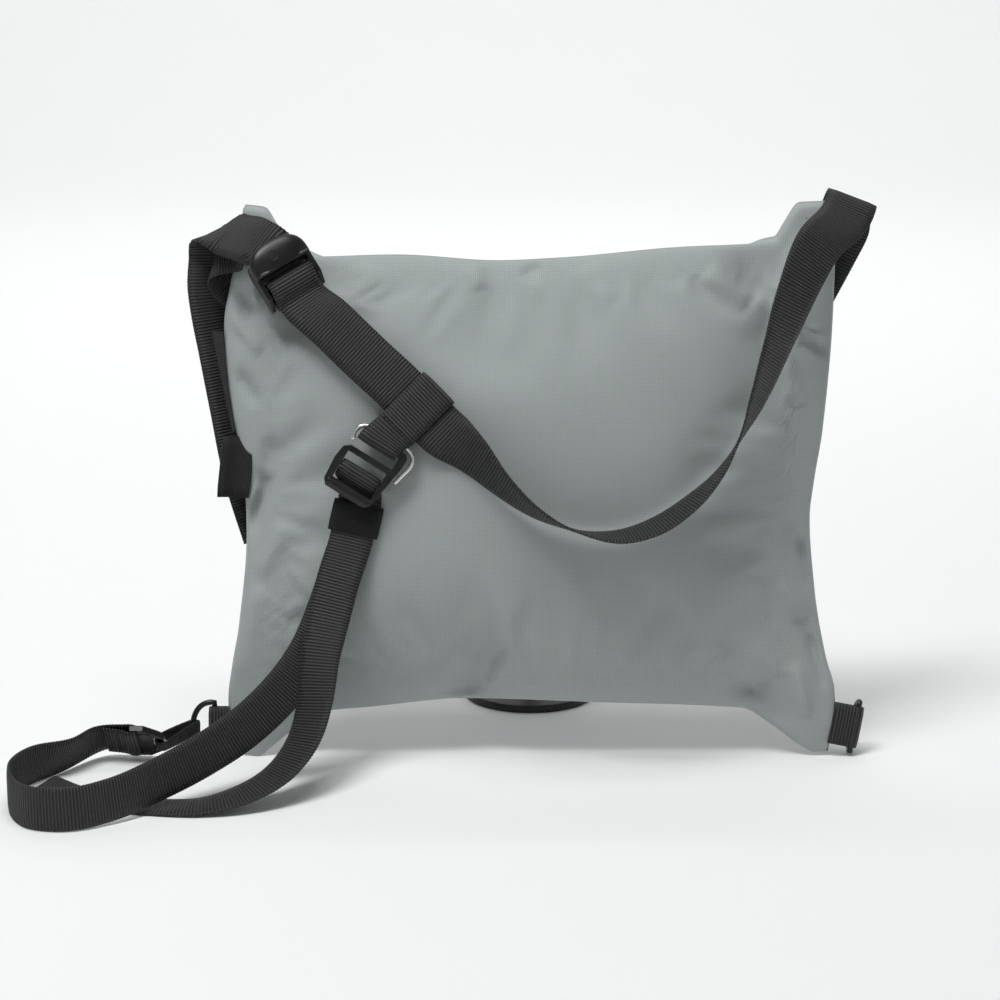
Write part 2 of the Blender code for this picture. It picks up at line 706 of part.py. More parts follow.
def make_main_strap(buckle, keeper, surface):
    """Make the shoulder strap from its stitched end on the buckle to its anchor at the back."""
    turn = 0.5 * WEB + GAP + BUCKLE_BAR
    wrap = [(0.0110, -0.0029, 0.0, -1.0), (0.0, -turn, 0.0, -1.0)]
    wrap += round_bar(-0.0025, 0.0, turn, -90.0, -270.0, 6)
    wrap += [(0.0035, 0.0022, 0.25, 1.0), (0.0080, 0.0002, 0.15, 1.0)]
    stations = seated(buckle, wrap) + bag_stations(MAIN_START)
    stations += straight_run(keeper, 1, 0.5 * SIDE_WEB + 0.002) + bag_stations(MAIN_RUN)
    fold = beside_bag(*MAIN_FOLD_AT)
    out, up = face_way(0.0, 1.0, 0.0), face_way(0.36, 0.0, 0.93)
    for index in range(5):
        angle = math.radians(10.0 + 40.0 * index)
        look = math.cos(angle) * out + math.sin(angle) * up
        stations.append((fold + MAIN_FOLD_RADIUS * look, look))
    stations += bag_stations(MAIN_ANCHOR)
    return add_strap("main_strap", stations, MAIN_WEB, surface)


def make_adjuster(buckle, surface):
    """Make the strap from the upper left corner through the buckle to its free tail."""
    turn = 0.5 * WEB + GAP + BUCKLE_PIN
    inward = [(-0.0270, -0.0064, 0.0, -1.0), (-0.0180, -0.0026 - turn, 0.0, -1.0)]
    wrap = round_bar(-0.0135, -0.0024, turn, -90.0, 90.0, 4)
    outward = [(-0.0190, -0.0026 + turn, 0.0, 1.0)]
    stations = [(place, -look) for place, look in bag_stations(ANCHOR_RUN)]
    stations += seated(buckle, inward + wrap + outward) + bag_stations(OVER_RUN)
    stations += folded(seat(FOLD_AT, FOLD_TURN, FOLD_TILT), FOLD_RADIUS, FOLD_SKEW)
    stations += bag_stations(TAIL_RUN)
    return add_strap("adjuster_strap", stations, MAIN_WEB, surface)


def make_buckle(frame, surface):
    """Make the ladder buckle: two cheeks, two bars and a domed cap."""
    shape = bmesh.new()
    bmesh.ops.create_uvsphere(shape, u_segments=18, v_segments=10, radius=1.0)
    for point in shape.verts:
        x, y, z = (math.copysign(abs(value) ** 0.80, value) for value in point.co)
        height = BUCKLE_RISE * z if z > 0.0 else 0.0006 * z
        point.co = frame @ Vector((-0.0120 + 0.0148 * x, BUCKLE_HALF * y, 0.0016 + height))
    bmesh.ops.recalc_face_normals(shape, faces=shape.faces)
    cap = add_object("buckle", shape, surface)
    window = add_block("window", frame, (-0.0100, -0.0300, -0.0100), (0.0300, 0.0300, 0.0200), surface)
    cap = combine(cap, [window], "DIFFERENCE")
    inner = BUCKLE_HALF - BUCKLE_WALL
    cheeks = []
    for side in (-1, 1):
        outline = [(-0.0185, 0.0), (-0.0160, 0.0022), (0.0030, 0.0020), (0.0100, -0.0030),
                   (0.0105, -0.0062), (0.0040, -0.0060), (-0.0130, -0.0060), (-0.0178, -0.0040)]
        upright = frame @ Matrix(((1, 0, 0, 0), (0, 0, -1, 0), (0, 1, 0, 0), (0, 0, 0, 1)))
        low, high = sorted((-side * inner, -side * (BUCKLE_HALF - 0.0002)))
        cheeks.append(add_plate("cheek", upright, outline, low, high, surface))
    ends = Vector((0.0, inner + 0.001, 0.0))
    bars = []
    for down, out, radius in ((-0.0025, 0.0, BUCKLE_BAR), (-0.0135, -0.0024, BUCKLE_PIN)):
        middle = Vector((down, 0.0, out))
        bars.append(add_rod("bar", frame @ (middle - ends), frame @ (middle + ends), radius, surface))
    return combine(cap, cheeks + bars, "UNION")


def make_keeper(keeper, hook, surface):
    """Make the webbing that is sewn round the main strap and holds the hook's bar in its end."""
    start = keeper.translation
    end = hook @ Vector((-0.0203, 0.0, 0.0))
    near = 0.5 * MAIN_WEB
    over = WEB + GAP
    snug = 0.5 * HOOK_THICK + 2 * GAP + 0.5 * WEB
    across, bars, out = (keeper.to_3x3() @ Vector(row) for row in ((1, 0, 0), (0, 1, 0), (0, 0, 1)))
    hook_bars = hook.to_3x3() @ Vector((0.0, -1.0, 0.0))
    shares = [(-near - GAP - 0.5 * WEB, 0.0), (-near, over), (0.0, over), (near + 0.0025, over)]
    rows = [(start + across * along + out * height, -bars) for along, height in shares]
    rows += [(place, hook_bars) for place in half_turn(end, end - start, hook_bars, snug)]
    rows += [(start + across * along - out * height, -bars) for along, height in shares[:0:-1]]
    return add_strip("keeper_tab", [row[0] for row in rows], [row[1] for row in rows],
                     SIDE_WEB, surface, closed=True)


def make_hook(frame, surface):
    """Make the moulded hook: a slotted frame with a round foot bar and an arm that ends in a bar."""
    half = 0.5 * HOOK_THICK
    plate = add_plate("g_hook", frame, HOOK_OUTLINE, -half, half, surface)
    slot = 0.5 * SIDE_WEB + GAP
    window = add_block("window", frame, (-0.0070, -slot, -0.01), (0.0105, slot, 0.01), surface)
    plate = combine(plate, [window], "DIFFERENCE")
    rods = []
    for down, out, radius, reach in ((0.0138, 0.0, HOOK_ROLL, 0.0145),
                                     (0.0010, -0.0008, HOOK_PIN, slot + 0.001)):
        low = frame @ Vector((down, -reach, out))
        high = frame @ Vector((down, reach - 0.0015, out))
        rods.append(add_rod("bar", low, high, radius, surface))
    return combine(plate, rods, "UNION")


def make_gate(frame, surface):
    """Make the wire gate from the hook's side through the keeper's end."""
    face = frame.to_3x3() @ Vector((0.0, 0.0, 1.0))
    stations = [(frame @ Vector((down, along, 0.0)), face) for down, along in GATE_RUN]
    points, _ = smooth_path(stations, 0.004)
    return add_wire("wire_gate", points, GATE_WIRE, surface)


def make_stabiliser(hook, sleeve, snap, surface):
    """Make the stabiliser's loaded strap from the hook round its loop to the small hook."""
    turn = 0.5 * WEB + GAP + HOOK_PIN
    rows = [(0.0010, -0.0008 - turn, 0.0, -1.0), (0.0075, -0.0062, 0.0, -1.0)]
    layer = 0.5 * (WEB + GAP)
    stations = seated(hook, rows) + seated(hook, [(0.0112, -0.0091, -0.3, -0.95)], 0.0044)
    stations += straight_run(sleeve, 0, 0.5 * SLEEVE_LENGTH + GAP, -layer)
    stations += floor_stations(STABILISER_RUN)
    turn = 0.5 * WEB + GAP + SNAP_BAR
    rows = [(-0.0240, -0.0022, 0.0, -1.0), (-0.0150, -turn, 0.0, -1.0)]
    rows += round_bar(-0.0085, 0.0, turn, -90.0, 90.0, 5)
    rows += [(-0.0150, 0.0012, 0.0, 1.0), (-0.0260, 0.0000, 0.0, 1.0)]
    stations += seated(snap, rows)
    return add_strap("stabiliser_strap", stations, SIDE_WEB, surface)


def make_tail(hook, sleeve, surface):
    """Make the stabiliser's free tail from the hook's bar to its end inside the loop."""
    turn = 0.5 * WEB + GAP + HOOK_PIN
    layer = 0.5 * (WEB + GAP)
    rows = round_bar(0.0010, -0.0008, turn, 180.0, 75.0, 3)
    rows += [(0.0055, 0.0, 0.7, 0.7), (0.0085, -0.0032, 0.6, 0.8)]
    stations = seated(hook, rows) + seated(hook, [(0.0112, -0.0044, 0.3, 0.95)], 0.0040)
    stations += straight_run(sleeve, 0, 0.5 * SLEEVE_LENGTH + GAP, layer)
    stations += floor_stations(STABILISER_TAIL)
    return add_strap("stabiliser_tail", stations, SIDE_WEB, surface)


def half_turn(middle, run, side, gap):
    """Return five places round a bar that lies along side, at a band's end."""
    out = side.cross(run).normalized()
    onward = out.cross(side)
    angles = [math.radians(90.0 - 45.0 * index) for index in range(5)]
    return [middle + onward * gap * math.cos(angle) + out * gap * math.sin(angle) for angle in angles]


def add_loop(name, frame, axis, reach, gap, width, surface, thick=WEB):
    """Make a flat closed band: its cross-section runs along one axis of the frame."""
    turn = frame.to_3x3()
    run = turn @ Vector((1 - axis, axis, 0.0))
    side = turn @ Vector((axis, 1 - axis, 0.0))
    places = half_turn(frame.translation + run * reach, run, side, gap)
    places += half_turn(frame.translation - run * reach, -run, side, gap)
    return add_strip(name, places, [side] * len(places), width, surface, closed=True, thick=thick)


def make_sleeve(sleeve, surface):
    """Make the elastic sleeve round both layers of the stabiliser."""
    gap = WEB + 0.5 * GAP + GAP + 0.5 * ELASTIC
    reach = 0.5 * SIDE_WEB - 0.0009
    return add_loop("elastic_sleeve", sleeve, 1, reach, gap, SLEEVE_LENGTH, surface, ELASTIC)


def snap_seat():
    """Return the small hook's frame on the floor: x along the strap, y up it and z to the front."""
    turn = Matrix.Rotation(SNAP_TURN, 4, "Z") @ Matrix.Rotation(SNAP_LEAN, 4, "X")
    return Matrix.Translation(Vector(SNAP_AT)) @ turn


def add_ring(name, frame, surface):
    """Make a D-shaped ring whose straight side lies on the frame's y axis and whose bow is at +x."""
    points = []
    for index in range(15):
        angle = math.radians(-90.0 + 180.0 * index / 14)
        bow = RING_BOW * math.cos(angle) ** 0.75
        points.append(frame @ Vector((bow, RING_BAR * math.sin(angle), 0.0)))
    middle = (points[0] + points[-1]) / 2
    points += [points[-1].lerp(middle, 0.5), middle, points[0].lerp(middle, 0.5)]
    return add_wire(name, points, RING_WIRE, surface, closed=True)


def add_tab_and_ring(side, at, turn, reach, bow, surface, moulded):
    """Make a webbing tab beside the bag and the ring in its fold; bow turns the ring on its bar."""
    sign = -1.0 if side == "left" else 1.0
    tab = seat(at, turn)
    add_loop(side + "_tab", tab, 1, reach, RING_WIRE + GAP + 0.5 * WEB, TAB_WIDTH, surface)
    upright = Matrix(((0, -1, 0, 0), (1, 0, 0, 0), (0, 0, 1, 0), (0, 0, 0, 1)))
    ring = tab @ Matrix.Translation((0.0, sign * reach, 0.0)) @ upright
    ring = ring @ Matrix.Rotation(bow, 4, "Y")
    add_ring(side + "_ring", ring, moulded)
    return ring


def make_small_hook(snap, surface):
    """Make the small hook: a plate with a bar for the strap's fold, a slot for the link and a hole."""
    half = 0.5 * SNAP_THICK
    plate = add_plate("small_hook", snap, SNAP_OUTLINE, -half, half, surface)
    slot = 0.5 * SIDE_WEB + GAP
    openings = [add_block("slot", snap, (-0.0110, -slot, -0.01), (-0.0048, slot, 0.01), surface),
                add_block("slot", snap, (0.0030, -0.0074, -0.01), (0.0066, 0.0054, 0.01), surface)]
    plate = combine(plate, openings, "DIFFERENCE")
    ends = Vector((0.0, slot + 0.0005, 0.0))
    bar, boss = Vector((-0.0085, 0.0, 0.0)), Vector((-0.0012, 0.0080, 0.0))
    rise = Vector((0.0, 0.0, half + 0.0010))
    rods = [add_rod("bar", snap @ (bar - ends), snap @ (bar + ends), SNAP_BAR, surface),
            add_rod("boss", snap @ boss, snap @ (boss + rise), 0.0032, surface)]
    return combine(plate, rods, "UNION")


def make_link(snap, ring, surface):
    """Make the narrow webbing between the small hook and the left ring."""
    start = snap @ Vector((0.0081, -0.0010, 0.0))
    end = ring @ Vector((RING_BOW - GAP, 0.0, 0.0))
    near_side = snap.to_3x3() @ Vector((0.0, 1.0, 0.0))
    far_side = ring.to_3x3() @ Vector((0.0, 1.0, 0.0))
    places = half_turn(end, end - start, far_side, RING_WIRE + 2 * GAP + 0.5 * WEB)
    places += half_turn(start, start - end, near_side, 0.0036)
    return add_strip("link_webbing", places, [far_side] * 5 + [near_side] * 5, LINK_WEB, surface,
                     closed=True)


def make_side_pieces(webbing, moulded, snap):
    """Make what is sewn into the side seams: tabs with rings, a twill tab and an end of tape."""
    left = add_tab_and_ring("left", LEFT_TAB_AT, LEFT_TAB_TURN, LEFT_TAB_REACH, math.pi,
                            webbing, moulded)
    add_tab_and_ring("right", RIGHT_TAB_AT, RIGHT_TAB_TURN, RIGHT_TAB_REACH, math.pi / 2,
                     webbing, moulded)
    add_loop("side_tab", seat(SIDE_TAB_AT, SIDE_TAB_TURN), 1, SIDE_TAB_REACH, 0.5 * (WEB + GAP),
             SIDE_TAB_WIDTH, webbing)
    add_plate("edge_tape", seat(TAPE_AT, 0.0), TAPE_OUTLINE, -0.5 * WEB, 0.5 * WEB, webbing)
    make_link(snap, left, webbing)


def make_stand(steel):
    """Make the stand: a round foot and a post that leans to the hidden panel."""
    shape = bmesh.new()
    middle = Vector((0.0, STAND_BACK, BASE_THICK / 2))
    bmesh.ops.create_cone(shape, cap_ends=True, segments=40, radius1=BASE_RADIUS, radius2=BASE_RADIUS,
                          depth=BASE_THICK, matrix=Matrix.Translation(middle))
    foot = add_object("display_stand", shape, steel)
    top = beside_bag(0.0, POST_UP, -(POST_RADIUS + GAP) / BAG_DEPTH)
    post = add_rod("post", middle, top, POST_RADIUS, steel)
    return combine(foot, [post], "UNION")


def centre_on_floor():
    """Move everything so that the whole thing's box stands on the origin."""
    things = [thing for thing in bpy.data.objects if thing.type == "MESH"]
    corners = [thing.matrix_world @ point.co for thing in things for point in thing.data.vertices]
    low = [min(point[axis] for point in corners) for axis in range(3)]
    high = [max(point[axis] for point in corners) for axis in range(3)]
    shift = Matrix.Translation((-(low[0] + high[0]) / 2, -(low[1] + high[1]) / 2, -low[2]))
    for thing in things:
        thing.data.transform(shift)


def main():
    clear_scene()
    cloth = make_material("grey_cloth", (0.27, 0.31, 0.31), 0.85)
    webbing = make_material("black_webbing", BLACK, 0.75)
    moulded = make_material("black_moulding", BLACK, 0.40)
    wire = make_material("bright_wire", (0.75, 0.75, 0.74), 0.25, 1.0)
    steel = make_material("black_steel", BLACK, 0.45)
    buckle = seat(BUCKLE_AT, BUCKLE_TURN, BUCKLE_TILT)
    keeper = strap_seat(KEEPER_BEFORE, KEEPER_AT, KEEPER_AFTER)
    hook = seat(HOOK_AT, HOOK_TURN)
    sleeve = seat(SLEEVE_AT, SLEEVE_TURN)
    snap = snap_seat()
    make_bag(cloth)
    make_main_strap(buckle, keeper, webbing)
    make_adjuster(buckle, webbing)
    make_buckle(buckle, moulded)
    make_keeper(keeper, hook, webbing)
    make_hook(hook, moulded)
    make_gate(hook, wire)
    make_stabiliser(hook, sleeve, snap, webbing)
    make_tail(hook, sleeve, webbing)
    make_sleeve(sleeve, webbing)
    make_small_hook(snap, moulded)
    make_side_pieces(webbing, moulded, snap)
    make_stand(steel)
    centre_on_floor()


main()
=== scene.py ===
"""A musette bag on its display stand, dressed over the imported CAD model, in metres, +Z up."""
import logging
import math
from dataclasses import dataclass, field
from enum import Enum
from functools import cached_property
from typing import Iterable, NamedTuple, Optional, Sequence

import bmesh
import bpy
from mathutils import Matrix, Vector


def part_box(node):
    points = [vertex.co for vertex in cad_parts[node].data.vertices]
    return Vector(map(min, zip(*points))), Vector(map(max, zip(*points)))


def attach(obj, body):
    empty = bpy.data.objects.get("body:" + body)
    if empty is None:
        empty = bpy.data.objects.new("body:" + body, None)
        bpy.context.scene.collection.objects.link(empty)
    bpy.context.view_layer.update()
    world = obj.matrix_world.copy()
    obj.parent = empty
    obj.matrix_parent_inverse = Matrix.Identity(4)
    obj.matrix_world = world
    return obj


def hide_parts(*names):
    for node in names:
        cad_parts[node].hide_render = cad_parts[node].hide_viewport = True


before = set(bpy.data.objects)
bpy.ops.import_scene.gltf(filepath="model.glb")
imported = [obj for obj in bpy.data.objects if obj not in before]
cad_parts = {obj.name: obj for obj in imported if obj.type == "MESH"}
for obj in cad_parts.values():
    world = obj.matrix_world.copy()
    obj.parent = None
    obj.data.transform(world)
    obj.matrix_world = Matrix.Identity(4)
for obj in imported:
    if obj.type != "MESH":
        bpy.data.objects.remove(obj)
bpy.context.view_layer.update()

LOG = logging.getLogger("musette")
MM = 0.001
Row = tuple[float, ...]

# Outline of the bag as shares of its half width and of its height
TOP_EDGE = (  # across, up
    (-0.950, 0.988), (-0.873, 0.983), (-0.833, 0.952), (-0.777, 0.922), (-0.700, 0.903),
    (-0.440, 0.906), (-0.116, 0.896), (0.100, 0.901), (0.440, 0.918), (0.790, 0.930),
    (0.820, 0.954), (0.872, 0.992), (0.970, 0.994))
LOW_EDGE = (  # across, up
    (-0.956, 0.004), (-0.909, 0.000), (-0.850, 0.022), (-0.777, 0.053), (-0.685, 0.082),
    (-0.519, 0.091), (-0.225, 0.106), (0.192, 0.099), (0.688, 0.089), (0.804, 0.053),
    (0.886, 0.020), (0.936, 0.008), (0.980, 0.010))
LEFT_EDGE = (  # up, out
    (0.000, -0.950), (0.040, -0.992), (0.102, -1.003), (0.166, -0.989), (0.240, -0.966),
    (0.411, -0.939), (0.521, -0.946), (0.650, -0.989), (0.790, -1.008), (0.870, -0.984),
    (0.930, -0.958), (1.000, -0.944))
RIGHT_EDGE = (  # up, out
    (0.000, 0.978), (0.066, 1.002), (0.115, 0.998), (0.175, 0.969), (0.300, 0.930),
    (0.430, 0.912), (0.502, 0.926), (0.593, 0.952), (0.794, 0.982), (0.939, 0.989),
    (1.000, 0.972))

# Dents and folds, as shares of half width, height, width and depth
FOLDS = (  # from across, from up, to across, to up, spread, rise
    (-0.840, 0.560, -0.950, 0.410, 0.020, -0.070),
    (-0.925, 0.840, -0.955, 0.760, 0.020, -0.050),
    (-0.800, 0.900, -0.740, 0.800, 0.040, -0.070),
    (0.700, 0.930, 0.745, 0.770, 0.040, -0.060),
    (0.880, 0.775, 0.975, 0.740, 0.018, -0.040),
    (0.845, 0.410, 0.925, 0.340, 0.022, -0.070),
    (0.890, 0.250, 0.940, 0.205, 0.018, -0.050),
    (0.735, 0.120, 0.800, 0.070, 0.030, -0.110),
    (-0.165, 0.190, -0.225, 0.115, 0.034, -0.110),
    (-0.740, 0.110, -0.810, 0.060, 0.030, -0.090),
    (-0.915, 0.290, -0.975, 0.175, 0.022, 0.050),
    (-0.116, 0.890, -0.100, 0.840, 0.040, -0.050))

# Creases that only the dressed bag has, in the same columns
CREASES = (
    (-0.055, 0.300, -0.120, 0.180, 0.022, 0.030),
    (-0.100, 0.205, -0.140, 0.140, 0.010, -0.060),
    (-0.300, 0.160, -0.120, 0.125, 0.022, -0.025),
    (-0.885, 0.500, -0.960, 0.440, 0.009, 0.070),
    (-0.860, 0.520, -0.930, 0.400, 0.012, -0.080),
    (-0.800, 0.430, -0.900, 0.330, 0.016, 0.040),
    (-0.985, 0.800, -0.880, 0.735, 0.010, 0.065),
    (-0.985, 0.850, -0.900, 0.800, 0.010, -0.070),
    (-0.960, 0.700, -0.890, 0.640, 0.012, -0.070),
    (-0.930, 0.930, -0.900, 0.820, 0.008, 0.050),
    (-0.870, 0.920, -0.880, 0.800, 0.008, -0.060),
    (0.790, 0.800, 0.985, 0.752, 0.007, 0.085),
    (0.865, 0.755, 0.985, 0.722, 0.010, -0.060),
    (0.800, 0.740, 0.870, 0.640, 0.014, 0.040),
    (0.900, 0.365, 0.950, 0.300, 0.008, 0.085),
    (0.870, 0.400, 0.930, 0.300, 0.009, -0.085),
    (0.800, 0.330, 0.905, 0.260, 0.014, 0.040),
    (0.930, 0.245, 0.990, 0.130, 0.008, 0.070),
    (0.905, 0.230, 0.965, 0.120, 0.008, -0.070),
    (0.860, 0.180, 0.905, 0.080, 0.013, 0.060),
    (0.640, 0.150, 0.790, 0.125, 0.020, -0.025),
    (0.660, 0.880, 0.800, 0.860, 0.026, -0.016),
    (0.560, 0.880, 0.700, 0.820, 0.020, 0.034),
    (0.180, 0.890, 0.260, 0.820, 0.026, 0.026),
    (0.020, 0.890, -0.030, 0.860, 0.012, -0.045),
    (-0.200, 0.890, -0.170, 0.845, 0.014, 0.040),
    (-0.520, 0.890, -0.560, 0.800, 0.028, 0.030))

# Straps beside the bag: place as shares of half width, height and depth, then the way the
# strap's outer face looks, across, outward and up
BUCKLE_AT = (-0.774, 0.858, 0.240)
BUCKLE_TURN = math.radians(31.6)
BUCKLE_TILT = math.radians(-22.0)
KEEPER_BEFORE = (-0.470, 0.694, 0.148)
KEEPER_AT = (-0.365, 0.637, 0.135)
KEEPER_AFTER = (-0.275, 0.587, 0.148)
HOOK_AT = (-0.548, 0.524, 0.195)
HOOK_TURN = math.radians(-32.0)
SLEEVE_AT = (-0.568, 0.441, 0.100)
SLEEVE_TURN = math.radians(-13.0)
FOLD_AT = (-0.997, 0.919, 0.035)
FOLD_TURN = math.radians(28.4)
FOLD_TILT = math.radians(-4.0)
FOLD_RADIUS = 0.0110
FOLD_SKEW = -0.450
MAIN_START = (  # across, up, off, face across, face out, face up
    (-0.648, 0.785, 0.195, 0.00, 1.00, 0.00),
    (-0.520, 0.718, 0.158, 0.00, 1.00, 0.00))
MAIN_RUN = (
    (-0.187, 0.553, 0.200, -0.42, 0.72, -0.52),
    (-0.095, 0.501, 0.245, -0.50, 0.46, -0.72),
    (0.008, 0.456, 0.280, -0.38, 0.27, -0.88),
    (0.115, 0.428, 0.300, -0.16, 0.07, -0.98),
    (0.271, 0.414, 0.310, 0.03, -0.18, -0.98),
    (0.385, 0.431, 0.300, 0.30, -0.26, -0.92),
    (0.500, 0.472, 0.290, 0.62, -0.24, -0.75),
    (0.593, 0.524, 0.290, 0.84, -0.08, -0.52),
    (0.659, 0.585, 0.290, 0.93, 0.12, -0.35),
    (0.712, 0.650, 0.290, 0.88, 0.40, -0.28),
    (0.769, 0.731, 0.300, 0.78, 0.58, -0.24),
    (0.828, 0.822, 0.340, 0.60, 0.78, -0.17),
    (0.895, 0.910, 0.360, 0.36, 0.93, -0.10))
MAIN_FOLD_AT = (1.024, 0.985, 0.045)
MAIN_FOLD_RADIUS = 0.0085
MAIN_ANCHOR = (
    (1.028, 0.960, -0.150, 0.10, -0.98, 0.10),
    (0.990, 0.915, -0.205, 0.15, -0.98, 0.05),
    (0.930, 0.850, -0.135, 0.30, -0.95, 0.10),
    (0.850, 0.765, -0.085, 0.30, -0.95, 0.10),
    (0.800, 0.715, -0.075, 0.25, -0.96, 0.08))
ANCHOR_RUN = (
    (-0.800, 0.715, -0.075, -0.25, -0.96, 0.08),
    (-0.850, 0.765, -0.085, -0.30, -0.95, 0.10),
    (-0.925, 0.825, -0.120, -0.35, -0.93, 0.10),
    (-0.995, 0.866, -0.105, -0.60, -0.78, 0.15),
    (-1.036, 0.900, -0.005, -0.94, 0.00, 0.34),
    (-1.012, 0.914, 0.070, -0.55, 0.82, 0.20),
    (-0.955, 0.920, 0.100, -0.06, 1.00, 0.05))
OVER_RUN = ((-0.885, 0.926, 0.215, -0.06, 1.00, 0.14),)
TAIL_RUN = (
    (-1.052, 0.852, -0.125, -0.38, -0.92, 0.00),
    (-1.044, 0.805, -0.150, -0.42, -0.90, 0.00),
    (-1.022, 0.740, -0.165, -0.42, -0.90, 0.00),
    (-0.985, 0.630, -0.175, -0.42, -0.90, 0.00),
    (-0.942, 0.505, -0.200, -0.42, -0.90, 0.00),
    (-0.880, 0.395, -0.085, -0.40, -0.91, 0.00))

# Pieces at the bag's seams: place, then how far they are turned in the bag's plane
SIDE_TAB_AT = (-0.986, 0.526, 0.000)
SIDE_TAB_RUN = (  # across, off
    (-0.940, -0.020), (-0.985, -0.024), (-1.012, -0.018), (-1.022, 0.000), (-1.012, 0.018),
    (-0.985, 0.024), (-0.918, 0.016))
TAPE_AT = (-0.992, 0.684, 0.000)
TAPE_OUTLINE = (  # down, right
    (-0.0280, -0.0100), (-0.0280, -0.0030), (0.0000, -0.0008), (0.0315, 0.0037), (0.0315, 0.0018))
LEFT_TAB_AT = (-1.0380, 0.053, 0.000)
RIGHT_TAB_AT = (1.0438, 0.056, 0.000)
RIGHT_TAB_TURN = math.radians(-11.0)

# Hook's outline in its own plane: down the strap, then along its bars
HOOK_OUTLINE = (
    (-0.0105, -0.0135), (-0.0080, -0.0168), (0.0000, -0.0178), (0.0135, -0.0166),
    (0.0168, -0.0140), (0.0170, 0.0110), (0.0140, 0.0145), (0.0000, 0.0166),
    (-0.0140, 0.0186), (-0.0205, 0.0186), (-0.0221, 0.0165), (-0.0221, -0.0080),
    (-0.0203, -0.0095), (-0.0185, -0.0080), (-0.0185, 0.0140), (-0.0105, 0.0140))
GATE_RUN = (
    (-0.0050, 0.0196), (-0.0105, 0.0208), (-0.0174, 0.0222), (-0.0228, 0.0208),
    (-0.0252, 0.0165), (-0.0257, 0.0080), (-0.0257, -0.0040), (-0.0250, -0.0100),
    (-0.0225, -0.0142), (-0.0180, -0.0156), (-0.0138, -0.0142))
SNAP_OUTLINE = (
    (-0.0100, -0.0134), (0.0000, -0.0134), (0.0070, -0.0085), (0.0096, -0.0050),
    (0.0096, 0.0045), (0.0070, 0.0078), (-0.0020, 0.0134), (-0.0100, 0.0134))

# Stabiliser strap on its way to the floor and round its loop, in metres from the middle of the
# bag's foot: across, back, up, then the way its outer face looks
STABILISER_RUN = (
    (-0.111, -0.0165, 0.118, 0.10, -0.98, 0.05),
    (-0.119, -0.0220, 0.095, 0.15, -0.96, 0.10),
    (-0.129, -0.030, 0.073, 0.20, -0.92, 0.15),
    (-0.145, -0.044, 0.053, 0.30, -0.88, 0.25),
    (-0.165, -0.060, 0.037, 0.35, -0.84, 0.25),
    (-0.188, -0.077, 0.0255, 0.38, -0.86, 0.15),
    (-0.211, -0.098, 0.0185, 0.42, -0.88, 0.05),
    (-0.234, -0.120, 0.0145, 0.30, -0.95, 0.00),
    (-0.256, -0.132, 0.0131, 0.00, -1.00, 0.00),
    (-0.277, -0.128, 0.0129, -0.45, -0.89, 0.00),
    (-0.291, -0.107, 0.0129, -0.92, -0.35, 0.00),
    (-0.295, -0.082, 0.0129, -0.99, 0.20, 0.00),
    (-0.289, -0.057, 0.0129, -0.76, 0.62, 0.15),
    (-0.272, -0.036, 0.0120, -0.50, 0.76, 0.42))
STABILISER_TAIL = (
    (-0.112, -0.0240, 0.116, -0.08, -0.98, 0.05),
    (-0.118, -0.030, 0.093, -0.18, -0.97, 0.08),
    (-0.123, -0.040, 0.071, -0.35, -0.92, 0.12),
    (-0.125, -0.052, 0.050, -0.52, -0.80, 0.25),
    (-0.131, -0.067, 0.031, -0.56, -0.64, 0.50),
    (-0.145, -0.082, 0.016, -0.50, -0.42, 0.75),
    (-0.165, -0.093, 0.0075, -0.30, -0.20, 0.92),
    (-0.188, -0.097, 0.0026, -0.10, -0.05, 0.99),
    (-0.212, -0.094, 0.0014, 0.00, 0.00, 1.00),
    (-0.237, -0.088, 0.0014, 0.00, 0.00, 1.00),
    (-0.260, -0.080, 0.0030, 0.10, -0.10, 0.98),
    (-0.279, -0.071, 0.0068, 0.25, -0.20, 0.94))

# Small hook beside the left corner, in metres from the middle of the bag's foot
SNAP_AT = (-0.2262, -0.0110, 0.0132)
SNAP_TURN = math.radians(-4.0)
SNAP_LEAN = math.radians(130.0)

# Sizes that several sub-assemblies share
WEB = 0.0016
GAP = 0.0004
MAIN_WEB = 0.030
SIDE_WEB = 0.025
STAND_BACK = 0.125


class Station(NamedTuple):
    """A place on a strap's middle line, the way its face looks and the way its width lies."""

    place: Vector
    face: Vector
    side: Optional[Vector] = None


class Slot(Enum):
    """Material slots of the record."""

    CLOTH = "grey_cloth"
    WEBBING = "black_webbing"
    ELASTIC = "black_elastic"
    MOULDED = "black_moulding"
    WIRE = "bright_wire"
    STEEL = "black_steel"


def to_linear(code: str) -> tuple[float, float, float, float]:
    """Turn an sRGB hex value into linear light.

    Args:
        code: Colour such as "#8A9696".

    Returns:
        Red, green, blue and an alpha of 1.
    """
    parts = [int(code[place:place + 2], 16) / 255 for place in (1, 3, 5)]
    return (*(part / 12.92 if part <= 0.04045 else ((part + 0.055) / 1.055) ** 2.4
              for part in parts), 1.0)


def add_node(tree: bpy.types.NodeTree, kind: str, settings: Optional[dict] = None,
             inputs: Optional[dict] = None) -> bpy.types.Node:
    """Add a node with its settings and links.

    Args:
        tree: Tree that gets the node.
        kind: Blender's name for the node's type.
        settings: Values of the node's own properties.
        inputs: For each input, by name or place, a value or the socket that feeds it.

    Returns:
        The new node.
    """
    node = tree.nodes.new(kind)
    for name, value in (settings or {}).items():
        setattr(node, name, value)
    for key, value in (inputs or {}).items():
        if isinstance(value, bpy.types.NodeSocket):
            tree.links.new(value, node.inputs[key])
        else:
            node.inputs[key].default_value = value
    return node


